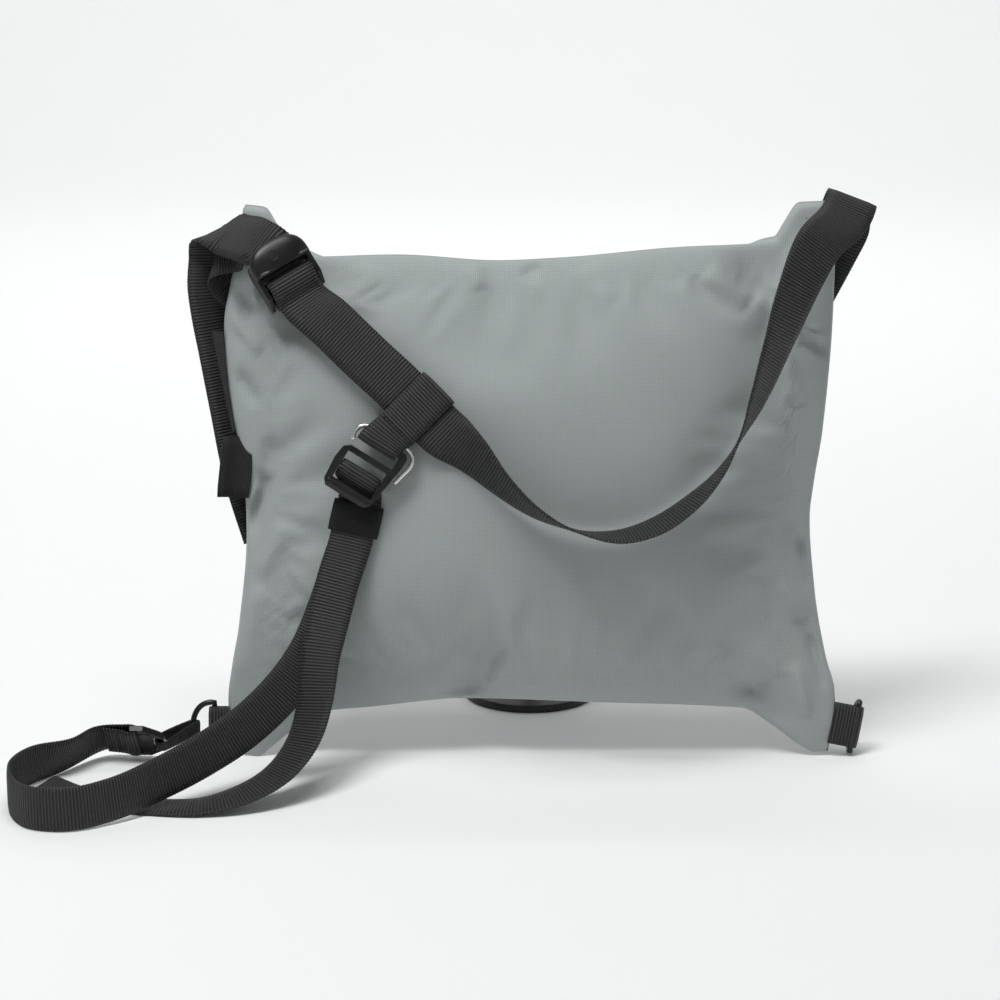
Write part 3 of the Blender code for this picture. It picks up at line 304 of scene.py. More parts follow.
def maths(tree: bpy.types.NodeTree, operation: str, *values: object) -> bpy.types.NodeSocket:
    """Add a step of arithmetic and return its result.

    Args:
        tree: Tree that gets the node.
        operation: Blender's name for the step.
        values: Numbers or sockets, in order.

    Returns:
        The socket that holds the result.
    """
    node = add_node(tree, "ShaderNodeMath", {"operation": operation}, dict(enumerate(values)))
    return node.outputs[0]


@dataclass(frozen=True)
class Finish:
    """A finish: its name, its colours and how it shines."""

    name: str
    colour: str
    roughness: float
    metallic: float = 0.0
    ior: float = 1.5

    def begin(self) -> tuple[bpy.types.Material, bpy.types.NodeTree, bpy.types.Node]:
        """Return a new material, its tree and its shader, with the plain values set.

        Returns:
            The material, its tree and its shader.
        """
        surface = bpy.data.materials.new(self.name)
        surface.use_nodes = True
        tree = surface.node_tree
        shader = tree.nodes["Principled BSDF"]
        shader.inputs["Base Color"].default_value = to_linear(self.colour)
        shader.inputs["Roughness"].default_value = self.roughness
        shader.inputs["Metallic"].default_value = self.metallic
        if self.metallic < 0.5:
            shader.inputs["IOR"].default_value = self.ior
        return surface, tree, shader

    def bump(self, tree: bpy.types.NodeTree, shader: bpy.types.Node,
             height: bpy.types.NodeSocket, depth: float, strength: float = 1.0) -> None:
        """Raise the surface by a pattern.

        Args:
            tree: The material's tree.
            shader: The shader whose normal is bent.
            height: Pattern from 0 to 1.
            depth: Height of the pattern in metres.
            strength: Share of the bend that is kept.
        """
        bump = add_node(tree, "ShaderNodeBump", None,
                        {"Strength": strength, "Distance": depth, "Height": height})
        tree.links.new(bump.outputs["Normal"], shader.inputs["Normal"])

    def tone(self, tree: bpy.types.NodeTree, shader: bpy.types.Node,
             share: bpy.types.NodeSocket, other: str) -> bpy.types.Node:
        """Mix the base colour with another by a share and return the mixing node.

        Args:
            tree: The material's tree.
            shader: The shader that gets the colour.
            share: Share of the other colour.
            other: The other colour, as sRGB hex.

        Returns:
            The mixing node.
        """
        mix = add_node(tree, "ShaderNodeMix", {"data_type": "RGBA"},
                       {0: share, 6: to_linear(self.colour), 7: to_linear(other)})
        tree.links.new(mix.outputs[2], shader.inputs["Base Color"])
        return mix

    def build(self) -> bpy.types.Material:
        """Return the finished material."""
        return self.begin()[0]


@dataclass(frozen=True)
class WovenNylon(Finish):
    """Plain-woven packcloth nylon: a fine square grain of two grey yarns under a dull coating."""

    weft: str = "#8C9392"
    thread: float = 1.20  # mm between threads; the real 0.5 mm is too fine to show

    def build(self) -> bpy.types.Material:
        """Return the cloth, whose grain follows the panel's own lengths.

        Returns:
            The material.
        """
        surface, tree, shader = self.begin()
        shader.inputs["Sheen Weight"].default_value = 0.12
        shader.inputs["Sheen Roughness"].default_value = 0.45
        shader.inputs["Specular IOR Level"].default_value = 0.30
        lengths = add_node(tree, "ShaderNodeUVMap", {"uv_map": "lengths"}).outputs[0]
        parts = add_node(tree, "ShaderNodeSeparateXYZ", None, {0: lengths}).outputs
        turn = 2000.0 * math.pi / self.thread
        over = maths(tree, "SINE", maths(tree, "MULTIPLY", parts[0], turn))
        under = maths(tree, "SINE", maths(tree, "MULTIPLY", parts[1], turn))
        grain = maths(tree, "MULTIPLY_ADD", maths(tree, "ADD", over, under), 0.25, 0.5)
        slubs = add_node(tree, "ShaderNodeTexNoise", None,
                         {"Vector": lengths, "Scale": 700.0, "Detail": 2.0}).outputs[0]
        mixed = maths(tree, "MULTIPLY_ADD", grain, 0.75, maths(tree, "MULTIPLY", slubs, 0.25))
        weave = self.tone(tree, shader, mixed, self.weft)
        clouds = add_node(tree, "ShaderNodeTexNoise", None,
                          {"Vector": add_node(tree, "ShaderNodeTexCoord").outputs["Object"],
                           "Scale": 14.0, "Detail": 3.0}).outputs[0]
        value = maths(tree, "MULTIPLY_ADD", clouds, 0.16, 0.92)
        shade = add_node(tree, "ShaderNodeHueSaturation", None,
                         {"Color": weave.outputs[2], "Value": value})
        tree.links.new(shade.outputs[0], shader.inputs["Base Color"])
        self.bump(tree, shader, mixed, 0.00012, 0.8)
        return surface


@dataclass(frozen=True)
class PolyesterWebbing(Finish):
    """Ribbed polyester webbing: rows of small floats across it and a tight selvedge, with a painted
    highlight on the crests of the floats.
    """

    # painted highlight: the lighter colour laid on the crests of the ribs and floats
    crest_highlight: str = "#454546"
    rib: float = 1.85  # mm between ribs, as counted on the strap
    cord: float = 1.10  # mm between the floats along a rib

    def build(self) -> bpy.types.Material:
        """Return the webbing, whose ribs follow the strap's own lengths and whose crests carry a
        painted highlight.

        Returns:
            The material.
        """
        surface, tree, shader = self.begin()
        shader.inputs["Sheen Weight"].default_value = 0.04
        shader.inputs["Specular IOR Level"].default_value = 0.42
        lengths = add_node(tree, "ShaderNodeUVMap", {"uv_map": "lengths"}).outputs[0]
        parts = add_node(tree, "ShaderNodeSeparateXYZ", None, {0: lengths}).outputs
        along = maths(tree, "MULTIPLY", parts[0], 1000.0 / self.rib)
        crest = maths(tree, "COSINE", maths(tree, "MULTIPLY", along, 2.0 * math.pi))
        rib = maths(tree, "MULTIPLY_ADD", crest, 0.5, 0.5)
        row = maths(tree, "ROUND", along)
        across = maths(tree, "MULTIPLY", parts[1], 1000.0 / self.cord)
        shifted = maths(tree, "MULTIPLY_ADD", row, 0.5, across)
        wave = maths(tree, "SINE", maths(tree, "MULTIPLY", shifted, math.pi))
        bead = maths(tree, "ABSOLUTE", wave)
        height = maths(tree, "MULTIPLY", rib, maths(tree, "MULTIPLY_ADD", bead, 0.65, 0.35))
        fuzz = add_node(tree, "ShaderNodeTexNoise", None,
                        {"Vector": lengths, "Scale": 900.0, "Detail": 2.0}).outputs[0]
        mixed = maths(tree, "MULTIPLY_ADD", fuzz, 0.25, maths(tree, "MULTIPLY", height, 0.85))
        # painted highlight: where the rib pattern is high, the crest takes the lighter colour
        crest_highlight_share = add_node(tree, "ShaderNodeMapRange", None,
                         {0: mixed, 1: 0.35, 2: 0.95, 3: 0.0, 4: 1.0}).outputs[0]
        self.tone(tree, shader, crest_highlight_share, self.crest_highlight)
        self.bump(tree, shader, mixed, 0.00030, 1.0)
        return surface


@dataclass(frozen=True)
class MouldedAcetal(Finish):
    """Injection-moulded acetal: satin black, with a fine spark-eroded grain and soft wear."""

    worn: str = "#161617"
    grit: float = 2400.0  # grains per metre; the real ones are finer than the render shows

    def build(self) -> bpy.types.Material:
        """Return the plastic.

        Returns:
            The material.
        """
        surface, tree, shader = self.begin()
        place = add_node(tree, "ShaderNodeTexCoord").outputs["Object"]
        grain = add_node(tree, "ShaderNodeTexNoise", None,
                         {"Vector": place, "Scale": self.grit, "Detail": 1.0}).outputs[0]
        scuff = add_node(tree, "ShaderNodeTexNoise", None,
                         {"Vector": place, "Scale": 90.0, "Detail": 4.0}).outputs[0]
        patch = add_node(tree, "ShaderNodeMapRange", None,
                         {0: scuff, 1: 0.45, 2: 0.75, 3: 0.0, 4: 1.0}).outputs[0]
        self.tone(tree, shader, patch, self.worn)
        rough = maths(tree, "MULTIPLY_ADD", patch, 0.12, self.roughness)
        tree.links.new(rough, shader.inputs["Roughness"])
        self.bump(tree, shader, grain, 0.00003, 0.5)
        return surface


@dataclass(frozen=True)
class DrawnWire(Finish):
    """Drawn stainless wire: bright, with faint lines from the die."""

    def build(self) -> bpy.types.Material:
        """Return the wire's metal.

        Returns:
            The material.
        """
        surface, tree, shader = self.begin()
        place = add_node(tree, "ShaderNodeTexCoord").outputs["Object"]
        lines = add_node(tree, "ShaderNodeTexNoise", None,
                         {"Vector": place, "Scale": 1500.0, "Detail": 2.0}).outputs[0]
        rough = maths(tree, "MULTIPLY_ADD", lines, 0.12, self.roughness)
        tree.links.new(rough, shader.inputs["Roughness"])
        self.bump(tree, shader, lines, 0.00001, 0.3)
        return surface


@dataclass(frozen=True)
class PowderCoat(Finish):
    """Powder-coated steel: satin black with a faint orange peel."""

    peel: float = 700.0  # dimples per metre, from a 1.4 mm pitch

    def build(self) -> bpy.types.Material:
        """Return the coating.

        Returns:
            The material.
        """
        surface, tree, shader = self.begin()
        place = add_node(tree, "ShaderNodeTexCoord").outputs["Object"]
        peel = add_node(tree, "ShaderNodeTexNoise", None,
                        {"Vector": place, "Scale": self.peel, "Detail": 1.0}).outputs[0]
        self.tone(tree, shader, peel, "#1E1E1F")
        self.bump(tree, shader, peel, 0.00004, 0.5)
        return surface


CLOTH = WovenNylon("woven packcloth nylon", "#ABB2B1", 0.78)
LINING = WovenNylon("coated back of packcloth", "#5E6768", 0.62, weft="#535C5E")
# The webbing, the tape and the elastic each carry a painted highlight on their rib crests, in their
# own crest colour
STRAP = PolyesterWebbing("ribbed polyester webbing", "#040404", 0.55)
TWILL = PolyesterWebbing("polyester twill tape", "#0C0C0D", 0.60, crest_highlight="#232324", rib=0.9,
                         cord=0.9)
BAND = PolyesterWebbing("knitted elastic", "#08090A", 0.70, crest_highlight="#111315", rib=0.8, cord=0.8)
THREAD = Finish("bonded nylon thread", "#0E0E0F", 0.45)
ACETAL = MouldedAcetal("moulded acetal", "#0B0B0C", 0.32, ior=1.48)
STAINLESS = DrawnWire("drawn stainless wire", "#D8D8D6", 0.20, metallic=1.0)
COATED = PowderCoat("powder-coated steel", "#101011", 0.42)
PAPER = Finish("matt studio paper", "#F4F5F5", 0.90)


def blend(low: float, high: float, value: float) -> float:
    """Rise smoothly from 0 at low to 1 at high."""
    share = min(max((value - low) / (high - low), 0.0), 1.0)
    return share * share * (3.0 - 2.0 * share)


def read_edge(table: Sequence[Row], place: float) -> float:
    """Read a two-column table at a place, smoothly and without overshoot.

    Args:
        table: Rows of place and value, in order.
        place: Where to read.

    Returns:
        The value there.
    """
    if place <= table[0][0]:
        return table[0][1]
    if place >= table[-1][0]:
        return table[-1][1]
    slopes = [(b[1] - a[1]) / (b[0] - a[0]) for a, b in zip(table, table[1:])]
    knots = [slopes[0]]
    for before, after in zip(slopes, slopes[1:]):
        knots.append(0.0 if before * after <= 0.0 else 2.0 * before * after / (before + after))
    knots.append(slopes[-1])
    index = max(i for i, row in enumerate(table[:-1]) if row[0] <= place)
    start, end = table[index], table[index + 1]
    span = end[0] - start[0]
    x = (place - start[0]) / span
    return ((1 + 2 * x) * (1 - x) ** 2 * start[1] + x * (1 - x) ** 2 * span * knots[index]
            + x * x * (3 - 2 * x) * end[1] + x * x * (x - 1) * span * knots[index + 1])


def spread_shares(count: int, crowd: float) -> list[float]:
    """Return shares from 0 to 1 that crowd towards both ends."""
    return [(1.0 - crowd) * index / count + crowd * 0.5 * (1.0 - math.cos(math.pi * index / count))
            for index in range(count + 1)]


@dataclass
class BagForm:
    """The bag's form as the CAD model has it, and places beside it."""

    width: float = 0.360
    height: float = 0.328
    depth: float = 0.076
    mouth_gap: float = 0.030
    lip_drop: float = 0.010
    ear_rise: float = 0.003
    ear_flat: float = 0.55
    lean: float = math.radians(9.0)
    panel_power: float = 2.4
    edge_power: float = 0.60

    def share(self, s: float, t: float) -> tuple[float, float]:
        """Return across and up shares of a panel's point, s from left to right, t from the foot."""
        across = (1.0 - s) * read_edge(LEFT_EDGE, t) + s * read_edge(RIGHT_EDGE, t)
        return across, (1.0 - t) * read_edge(LOW_EDGE, across) + t * read_edge(TOP_EDGE, across)

    def fullness(self, s: float, t: float) -> float:
        """Return how far a panel stands off the seam there, without its folds.

        Args:
            s: Share from left to right.
            t: Share from the foot up.

        Returns:
            Metres off the seam.
        """
        sideways = max(1.0 - abs(2.0 * s - 1.0) ** self.panel_power, 0.0)
        sideways = sideways ** (self.edge_power * (1.0 - 0.5 * blend(0.85, 1.0, t)))
        upward = max(1.0 - abs(2.0 * t - 1.0) ** self.panel_power, 0.0) ** self.edge_power
        if t > 0.5:
            lip = self.mouth_gap / self.depth
            upward = lip + (1.0 - lip) * upward
        return 0.5 * self.depth * sideways * upward

    def rise(self, across: float, up: float, table: Sequence[Row]) -> float:
        """Return the height of a table's dents and folds at a place.

        Args:
            across: Share of the half width.
            up: Share of the height.
            table: FOLDS or CREASES, whose rows fade at both ends.

        Returns:
            Metres outward.
        """
        total = 0.0
        place = Vector((across * self.width / 2, up * self.height))
        for from_across, from_up, to_across, to_up, spread, share in table:
            start = Vector((from_across * self.width / 2, from_up * self.height))
            run = Vector((to_across * self.width / 2, to_up * self.height)) - start
            along = min(max((place - start).dot(run) / run.length_squared, 0.0), 1.0)
            away = (place - start - run * along).length / (spread * self.width)
            if away < 4.0:
                fade = 1.0 - (2.0 * along - 1.0) ** 4 if table is CREASES else 1.0
                total += share * fade * self.depth * math.exp(-away * away)
        return total

    def panel_depth(self, s: float, t: float, creased: bool = False) -> float:
        """Return how far a panel stands off the seam with its folds, and its creases if asked.

        Args:
            s: Share from left to right.
            t: Share from the foot up.
            creased: Whether the creases count.

        Returns:
            Metres off the seam.
        """
        full = self.fullness(s, t)
        across, up = self.share(s, t)
        rise = self.rise(across, up, FOLDS)
        if creased:
            rise += self.rise(across, up, CREASES)
        return full + rise * blend(0.0, 0.012, full)

    def mouth(self, s: float) -> float:
        """Return 1 over the mouth and 0 over the ears at its ends."""
        return blend(0.10, 0.22, s) * blend(0.10, 0.22, 1.0 - s)

    def point(self, s: float, t: float, side: float, creased: bool = False) -> Vector:
        """Return a point of the wearer's panel, side 1, or of the hidden one, side -1, upright.

        Args:
            s: Share from left to right.
            t: Share from the foot up.
            side: 1 for the wearer's panel and -1 for the hidden one.
            creased: Whether the creases count.

        Returns:
            The point in metres.
        """
        across, up = self.share(s, t)
        mouth = self.mouth(s)
        drop = (self.lip_drop * mouth - self.ear_rise * (1.0 - mouth)) * blend(0.80, 1.0, t)
        drop *= 0.5 * (1.0 - side) * blend(0.0, 0.004, self.fullness(s, t))
        flat = 1.0 - self.ear_flat * (1.0 - mouth) * blend(0.86, 0.97, t)
        depth = max(self.panel_depth(s, t, creased) * flat, 0.0)
        return Vector((across * self.width / 2, -side * depth, up * self.height - drop))

    @cached_property
    def turn(self) -> Matrix:
        """Rotation that leans the bag back."""
        return Matrix.Rotation(-self.lean, 3, "X")

    @cached_property
    def lift(self) -> Vector:
        """How far the leaning bag is raised to stand on its lowest point.

        Returns:
            The raise, straight up.
        """
        shares = [(s, t, side) for t in spread_shares(18, 0.4) for s in spread_shares(24, 0.5)
                  for side in (1, -1)]
        return Vector((0.0, 0.0, -min((self.turn @ self.point(*share)).z for share in shares)))

    def leaned(self, point: Vector) -> Vector:
        """Carry a point of the upright bag to its place on the floor."""
        return self.turn @ point + self.lift

    def beside(self, across: float, up: float, off: float) -> Vector:
        """Return the place that lies off the wearer's panel, or off the hidden one.

        Args:
            across: Share of the half width.
            up: Share of the height.
            off: Share of the depth outward, negative behind the hidden panel.

        Returns:
            The place of the leaning bag.
        """
        low = read_edge(LOW_EDGE, across)
        t = (up - low) / (read_edge(TOP_EDGE, across) - low)
        left = read_edge(LEFT_EDGE, min(max(t, 0.0), 1.0))
        s = (across - left) / (read_edge(RIGHT_EDGE, min(max(t, 0.0), 1.0)) - left)
        inside = 0.0 < s < 1.0 and 0.0 < t < 1.0
        depth = self.panel_depth(s, t) if inside else 0.0
        y = -(1.0 if off >= 0.0 else -1.0) * depth - off * self.depth
        return self.leaned(Vector((across * self.width / 2, y, up * self.height)))

    def face(self, across: float, out: float, up: float) -> Vector:
        """Return the leaned direction of a strap's outer face."""
        return (self.turn @ Vector((across, -out, up))).normalized()

    def stations(self, table: Iterable[Row]) -> list[Station]:
        """Turn rows beside the bag into strap stations."""
        return [Station(self.beside(*row[:3]), self.face(*row[3:])) for row in table]

    def seat(self, at: Row, turn: float, tilt: float = 0.0) -> Matrix:
        """Return a frame beside the bag: x down the strap, y along the bars, z outward.

        Args:
            at: Across, up and off.
            turn: Angle of the bars in the bag's plane.
            tilt: Angle about x.

        Returns:
            The frame.
        """
        bars = Vector((math.cos(turn), 0.0, math.sin(turn)))
        out = Vector((0.0, -1.0, 0.0))
        axes = [self.turn @ axis for axis in (bars.cross(out), bars, out)]
        place = Matrix(axes).transposed().to_4x4()
        place.translation = self.beside(*at)
        return place @ Matrix.Rotation(tilt, 4, "X")

    def strap_seat(self, before: Row, at: Row, after: Row) -> Matrix:
        """Return a frame on a strap beside the bag: x across it, y along it and z outward.

        Args:
            before: Across, up and off of a place before it.
            at: Across, up and off of the frame.
            after: Across, up and off of a place after it.

        Returns:
            The frame.
        """
        along = (self.beside(*after) - self.beside(*before)).normalized()
        out = self.face(0.0, 1.0, 0.0)
        out = (out - along * out.dot(along)).normalized()
        place = Matrix((along.cross(out), along, out)).transposed().to_4x4()
        place.translation = self.beside(*at)
        return place


FORM = BagForm()


def floor_stations(table: Iterable[Row]) -> list[Station]:
    """Turn rows on the floor into strap stations."""
    return [Station(Vector(row[:3]), Vector(row[3:]).normalized()) for row in table]


def seated(place: Matrix, rows: Iterable[Row], along: float = 0.0) -> list[Station]:
    """Turn rows of down, out, face down and face out into stations whose width lies on the bars.

    Args:
        place: The frame.
        rows: Down, out, face down and face out.
        along: Place on the bars.

    Returns:
        The stations.
    """
    turn = place.to_3x3()
    bars = turn @ Vector((0.0, 1.0, 0.0))
    return [Station(place @ Vector((down, along, out)),
                    (turn @ Vector((look_down, 0.0, look_out))).normalized(), bars)
            for down, out, look_down, look_out in rows]


def straight_run(place: Matrix, axis: int, reach: float, out: float = 0.0) -> list[Station]:
    """Return four stations on a frame's axis, so that a strap lies straight between them.

    Args:
        place: The frame.
        axis: 0 to run on x and 1 to run on y.
        reach: Half the straight length.
        out: Height over the frame.

    Returns:
        The stations.
    """
    turn = place.to_3x3()
    stations = []
    for distance in (-reach - 0.0015, -reach, reach, reach + 0.0015):
        point = Vector((0.0, 0.0, out))
        point[axis] = distance
        stations.append(Station(place @ point, turn @ Vector((0.0, 0.0, 1.0)),
                                turn @ Vector((axis, 1 - axis, 0.0))))
    return stations


def folded(place: Matrix, radius: float, skew: float) -> list[Station]:
    """Return stations of a strap that rolls over a frame's y axis at a slant, front to back.

    Args:
        place: The frame.
        radius: Radius of the roll.
        skew: Sine of the slant.

    Returns:
        The stations.
    """
    turn = place.to_3x3()
    square = math.sqrt(1.0 - skew * skew)
    stations = []
    for index in range(7):
        angle = math.radians(30.0 * index)
        look = Vector((-math.sin(angle), 0.0, math.cos(angle)))
        onward = Vector((-math.cos(angle), 0.0, -math.sin(angle)))
        side = skew * onward - square * Vector((0.0, 1.0, 0.0))
        point = radius * look
        point.y = skew * radius * (angle - math.pi / 2) / square
        stations.append(Station(place @ point, turn @ look, turn @ side))
    return stations


def round_bar(down: float, out: float, radius: float, start: float, end: float,
              count: int) -> list[Row]:
    """Return rows that pass round a bar from one angle to another, in degrees.

    Args:
        down: The bar's place down the strap.
        out: The bar's height.
        radius: Distance of the strap's middle line.
        start: First angle.
        end: Last angle.
        count: Steps.

    Returns:
        The rows.
    """
    rows = []
    for index in range(count + 1):
        angle = math.radians(start + (end - start) * index / count)
        rows.append((down + radius * math.cos(angle), out + radius * math.sin(angle),
                     math.cos(angle), math.sin(angle)))
    return rows


def half_turn(middle: Vector, run: Vector, side: Vector, gap: float) -> list[Vector]:
    """Return places round a bar that lies along side, at a band's end.

    Args:
        middle: The bar's middle.
        run: The way the band comes.
        side: The way the bar lies.
        gap: Distance of the band's middle line.

    Returns:
        The places.
    """
    out = side.cross(run).normalized()
    onward = out.cross(side)
    angles = [math.radians(90.0 - 15.0 * index) for index in range(13)]
    return [middle + onward * gap * math.cos(angle) + out * gap * math.sin(angle)
            for angle in angles]


def smooth_path(stations: Sequence[Station],
                step: float) -> tuple[list[Vector], list[Vector], list[float]]:
    """Follow a smooth curve through the stations.

    Args:
        stations: Places with the way the strap's face looks there.
        step: Longest step along the curve.

    Returns:
        Points on the curve, the way the strap's width lies at each, and 1 where the strap is
        free and 0 where a bar or a frame holds it.
    """
    points = [station.place for station in stations]
    spans = [max((b - a).length, 1e-6) for a, b in zip(points, points[1:])]
    slopes = []
    for index in range(len(points)):
        if index == 0:
            slopes.append((points[1] - points[0]) / spans[0])
        elif index == len(points) - 1:
            slopes.append((points[-1] - points[-2]) / spans[-1])
        else:
            before = (points[index] - points[index - 1]) / spans[index - 1]
            after = (points[index + 1] - points[index]) / spans[index]
            total = spans[index - 1] + spans[index]
            slopes.append((before * spans[index] + after * spans[index - 1]) / total)
    widths = []
    for station, slope in zip(stations, slopes):
        side = slope.cross(station.face).normalized()
        if station.side is not None:
            side = station.side if station.side.dot(side) > 0.0 else -station.side
        widths.append(side)
    free = [0.0 if station.side is not None else 1.0 for station in stations]
    places, sides, looseness = [points[0]], [widths[0]], [free[0]]
    for index, span in enumerate(spans):
        turn = stations[index].face.angle(stations[index + 1].face, 0.0)
        pieces = max(1, math.ceil(span / step), math.ceil(turn / math.radians(5.0)))
        for piece in range(1, pieces + 1):
            x = piece / pieces
            places.append((1 + 2 * x) * (1 - x) ** 2 * points[index]
                          + x * (1 - x) ** 2 * span * slopes[index]
                          + x * x * (3 - 2 * x) * points[index + 1]
                          + x * x * (x - 1) * span * slopes[index + 1])
            soft = x * x * (3 - 2 * x)
            sides.append(widths[index].lerp(widths[index + 1], soft).normalized())
            looseness.append((1.0 - x) * free[index] + x * free[index + 1])
    return places, sides, looseness


def ease(values: Sequence[Vector], looseness: Sequence[float], reach: float) -> list[Vector]:
    """Even out vectors along a strap where it is free.

    Args:
        values: One vector at every even step.
        looseness: 1 where the strap is free and 0 where it is held.
        reach: Spread of the evening, in steps.

    Returns:
        The evened vectors.
    """
    window = int(2.5 * reach)
    weights = [math.exp(-0.5 * (k / reach) ** 2) for k in range(window + 1)]
    result = []
    for index, value in enumerate(values):
        near = min(window, index, len(values) - 1 - index)
        total, mean = 1.0, value.copy()
        for k in range(1, near + 1):
            mean += weights[k] * (values[index - k] + values[index + k])
            total += 2.0 * weights[k]
        result.append(value.lerp(mean / total, looseness[index]))
    return result


def resample(places: list[Vector], sides: list[Vector], step: float, closed: bool,
             unit: bool = True) -> tuple[list[Vector], list[Vector], float]:
    """Set points at even distances along a path.

    Args:
        places: Points of the path.
        sides: The way a strap's width lies at each.
        step: Distance wanted between points.
        closed: Whether the path comes back to its start.
        unit: Whether the sides are brought back to length 1.

    Returns:
        The new points, their sides and the exact distance between them.
    """
    if closed:
        places, sides = places + places[:1], sides + sides[:1]
    marks = [0.0]
    for before, after in zip(places, places[1:]):
        marks.append(marks[-1] + (after - before).length)
    count = max(4, round(marks[-1] / step))
    exact = marks[-1] / count
    new_places, new_sides = [], []
    index = 0
    for number in range(count if closed else count + 1):
        goal = min(number * exact, marks[-1])
        while index < len(marks) - 2 and marks[index + 1] < goal:
            index += 1
        share = (goal - marks[index]) / max(marks[index + 1] - marks[index], 1e-9)
        new_places.append(places[index].lerp(places[index + 1], min(share, 1.0)))
        side = sides[index].lerp(sides[index + 1], min(share, 1.0))
        new_sides.append(side.normalized() if unit else side)
    return new_places, new_sides, exact


def design_shift() -> Vector:
    """Return how far the CAD model moved the design's origin, read from the stand's foot.

    Returns:
        The shift in metres.
    """
    low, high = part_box("display_stand")
    foot = Vector(((low[0] + high[0]) / 2, high[1] - DisplayStand.radius, low[2]))
    return foot - Vector((0.0, STAND_BACK, 0.0))


def own(piece: bpy.types.Object, slot: Slot, *nodes: str) -> bpy.types.Object:
    """Move a piece from the design's place to the frame's and give it to the frame.

    Args:
        piece: Finished piece, without modifiers.
        slot: The record's material slot, which is not used.
        nodes: CAD nodes that it stands for.

    Returns:
        The piece.
    """
    piece.data.transform(Matrix.Translation(SHIFT))
    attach(piece, "root")
    if nodes:
        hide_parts(*nodes)
    LOG.info("%s: %d faces", piece.name, len(piece.data.polygons))
    return piece


def add_piece(name: str, shape: bmesh.types.BMesh, surface: bpy.types.Material,
              smooth: bool = True) -> bpy.types.Object:
    """Turn a bmesh into a named object with one material.

    Args:
        name: Name of the piece.
        shape: The bmesh, which is freed.
        surface: Its material.
        smooth: Whether it is shaded smooth.

    Returns:
        The object.
    """
    mesh = bpy.data.meshes.new(name)
    shape.normal_update()
    shape.to_mesh(mesh)
    shape.free()
    mesh.materials.append(surface)
    if smooth:
        mesh.shade_smooth()
    piece = bpy.data.objects.new(name, mesh)
    bpy.context.scene.collection.objects.link(piece)
    return piece


def bake(piece: bpy.types.Object) -> bpy.types.Object:
    """Turn a piece's modifiers into plain mesh.

    Args:
        piece: Piece with modifiers.

    Returns:
        The piece, without them.
    """
    bpy.context.view_layer.update()
    graph = bpy.context.evaluated_depsgraph_get()
    mesh = bpy.data.meshes.new_from_object(piece.evaluated_get(graph), depsgraph=graph)
    piece.modifiers.clear()
    piece.data = mesh
    return piece


def rib_tree() -> bpy.types.NodeTree:
    """Return the Geometry Nodes tree that raises a strap's transverse ribs, made once.

    Returns:
        The tree.
    """
    tree = bpy.data.node_groups.get("webbing ribs")
    if tree:
        return tree
    tree = bpy.data.node_groups.new("webbing ribs", "GeometryNodeTree")
    face = tree.interface
    face.new_socket("Strap", in_out="INPUT", socket_type="NodeSocketGeometry")
    for name, value in (("Pitch", 1.85 * MM), ("Rise", 0.14 * MM)):
        socket = face.new_socket(name, in_out="INPUT", socket_type="NodeSocketFloat")
        socket.default_value = value
    face.new_socket("Finish", in_out="INPUT", socket_type="NodeSocketMaterial")
    face.new_socket("Ribbed", in_out="OUTPUT", socket_type="NodeSocketGeometry")
    given = add_node(tree, "NodeGroupInput").outputs
    along = add_node(tree, "GeometryNodeInputNamedAttribute", {"data_type": "FLOAT"},
                     {"Name": "along"}).outputs["Attribute"]
    turns = maths(tree, "MULTIPLY", maths(tree, "DIVIDE", along, given["Pitch"]), 2.0 * math.pi)
    height = maths(tree, "MULTIPLY", maths(tree, "COSINE", turns), given["Rise"])
    normal = add_node(tree, "GeometryNodeInputNormal").outputs[0]
    push = add_node(tree, "ShaderNodeVectorMath", {"operation": "SCALE"},
                    {0: normal, "Scale": height}).outputs[0]
    ribbed = add_node(tree, "GeometryNodeSetPosition", None,
                      {"Geometry": given["Strap"], "Offset": push}).outputs[0]
    real = add_node(tree, "GeometryNodeRealizeInstances", None, {"Geometry": ribbed}).outputs[0]
    dressed = add_node(tree, "GeometryNodeSetMaterial", None,
                       {"Geometry": real, "Material": given["Finish"]}).outputs[0]
    add_node(tree, "NodeGroupOutput", None, {"Ribbed": dressed})
    return tree


def grow(piece: bpy.types.Object, tree: bpy.types.NodeTree, **given: object) -> bpy.types.Object:
    """Run a Geometry Nodes tree on a piece and keep the result as plain mesh.

    Args:
        piece: Piece that the tree starts from.
        tree: Tree with named inputs.
        given: Values of its inputs.

    Returns:
        The piece.
    """
    run = piece.modifiers.new(tree.name, "NODES")
    run.node_group = tree
    for socket in tree.interface.items_tree:
        if socket.in_out == "INPUT" and socket.name in given:
            run[socket.identifier] = given[socket.name]
    return bake(piece)


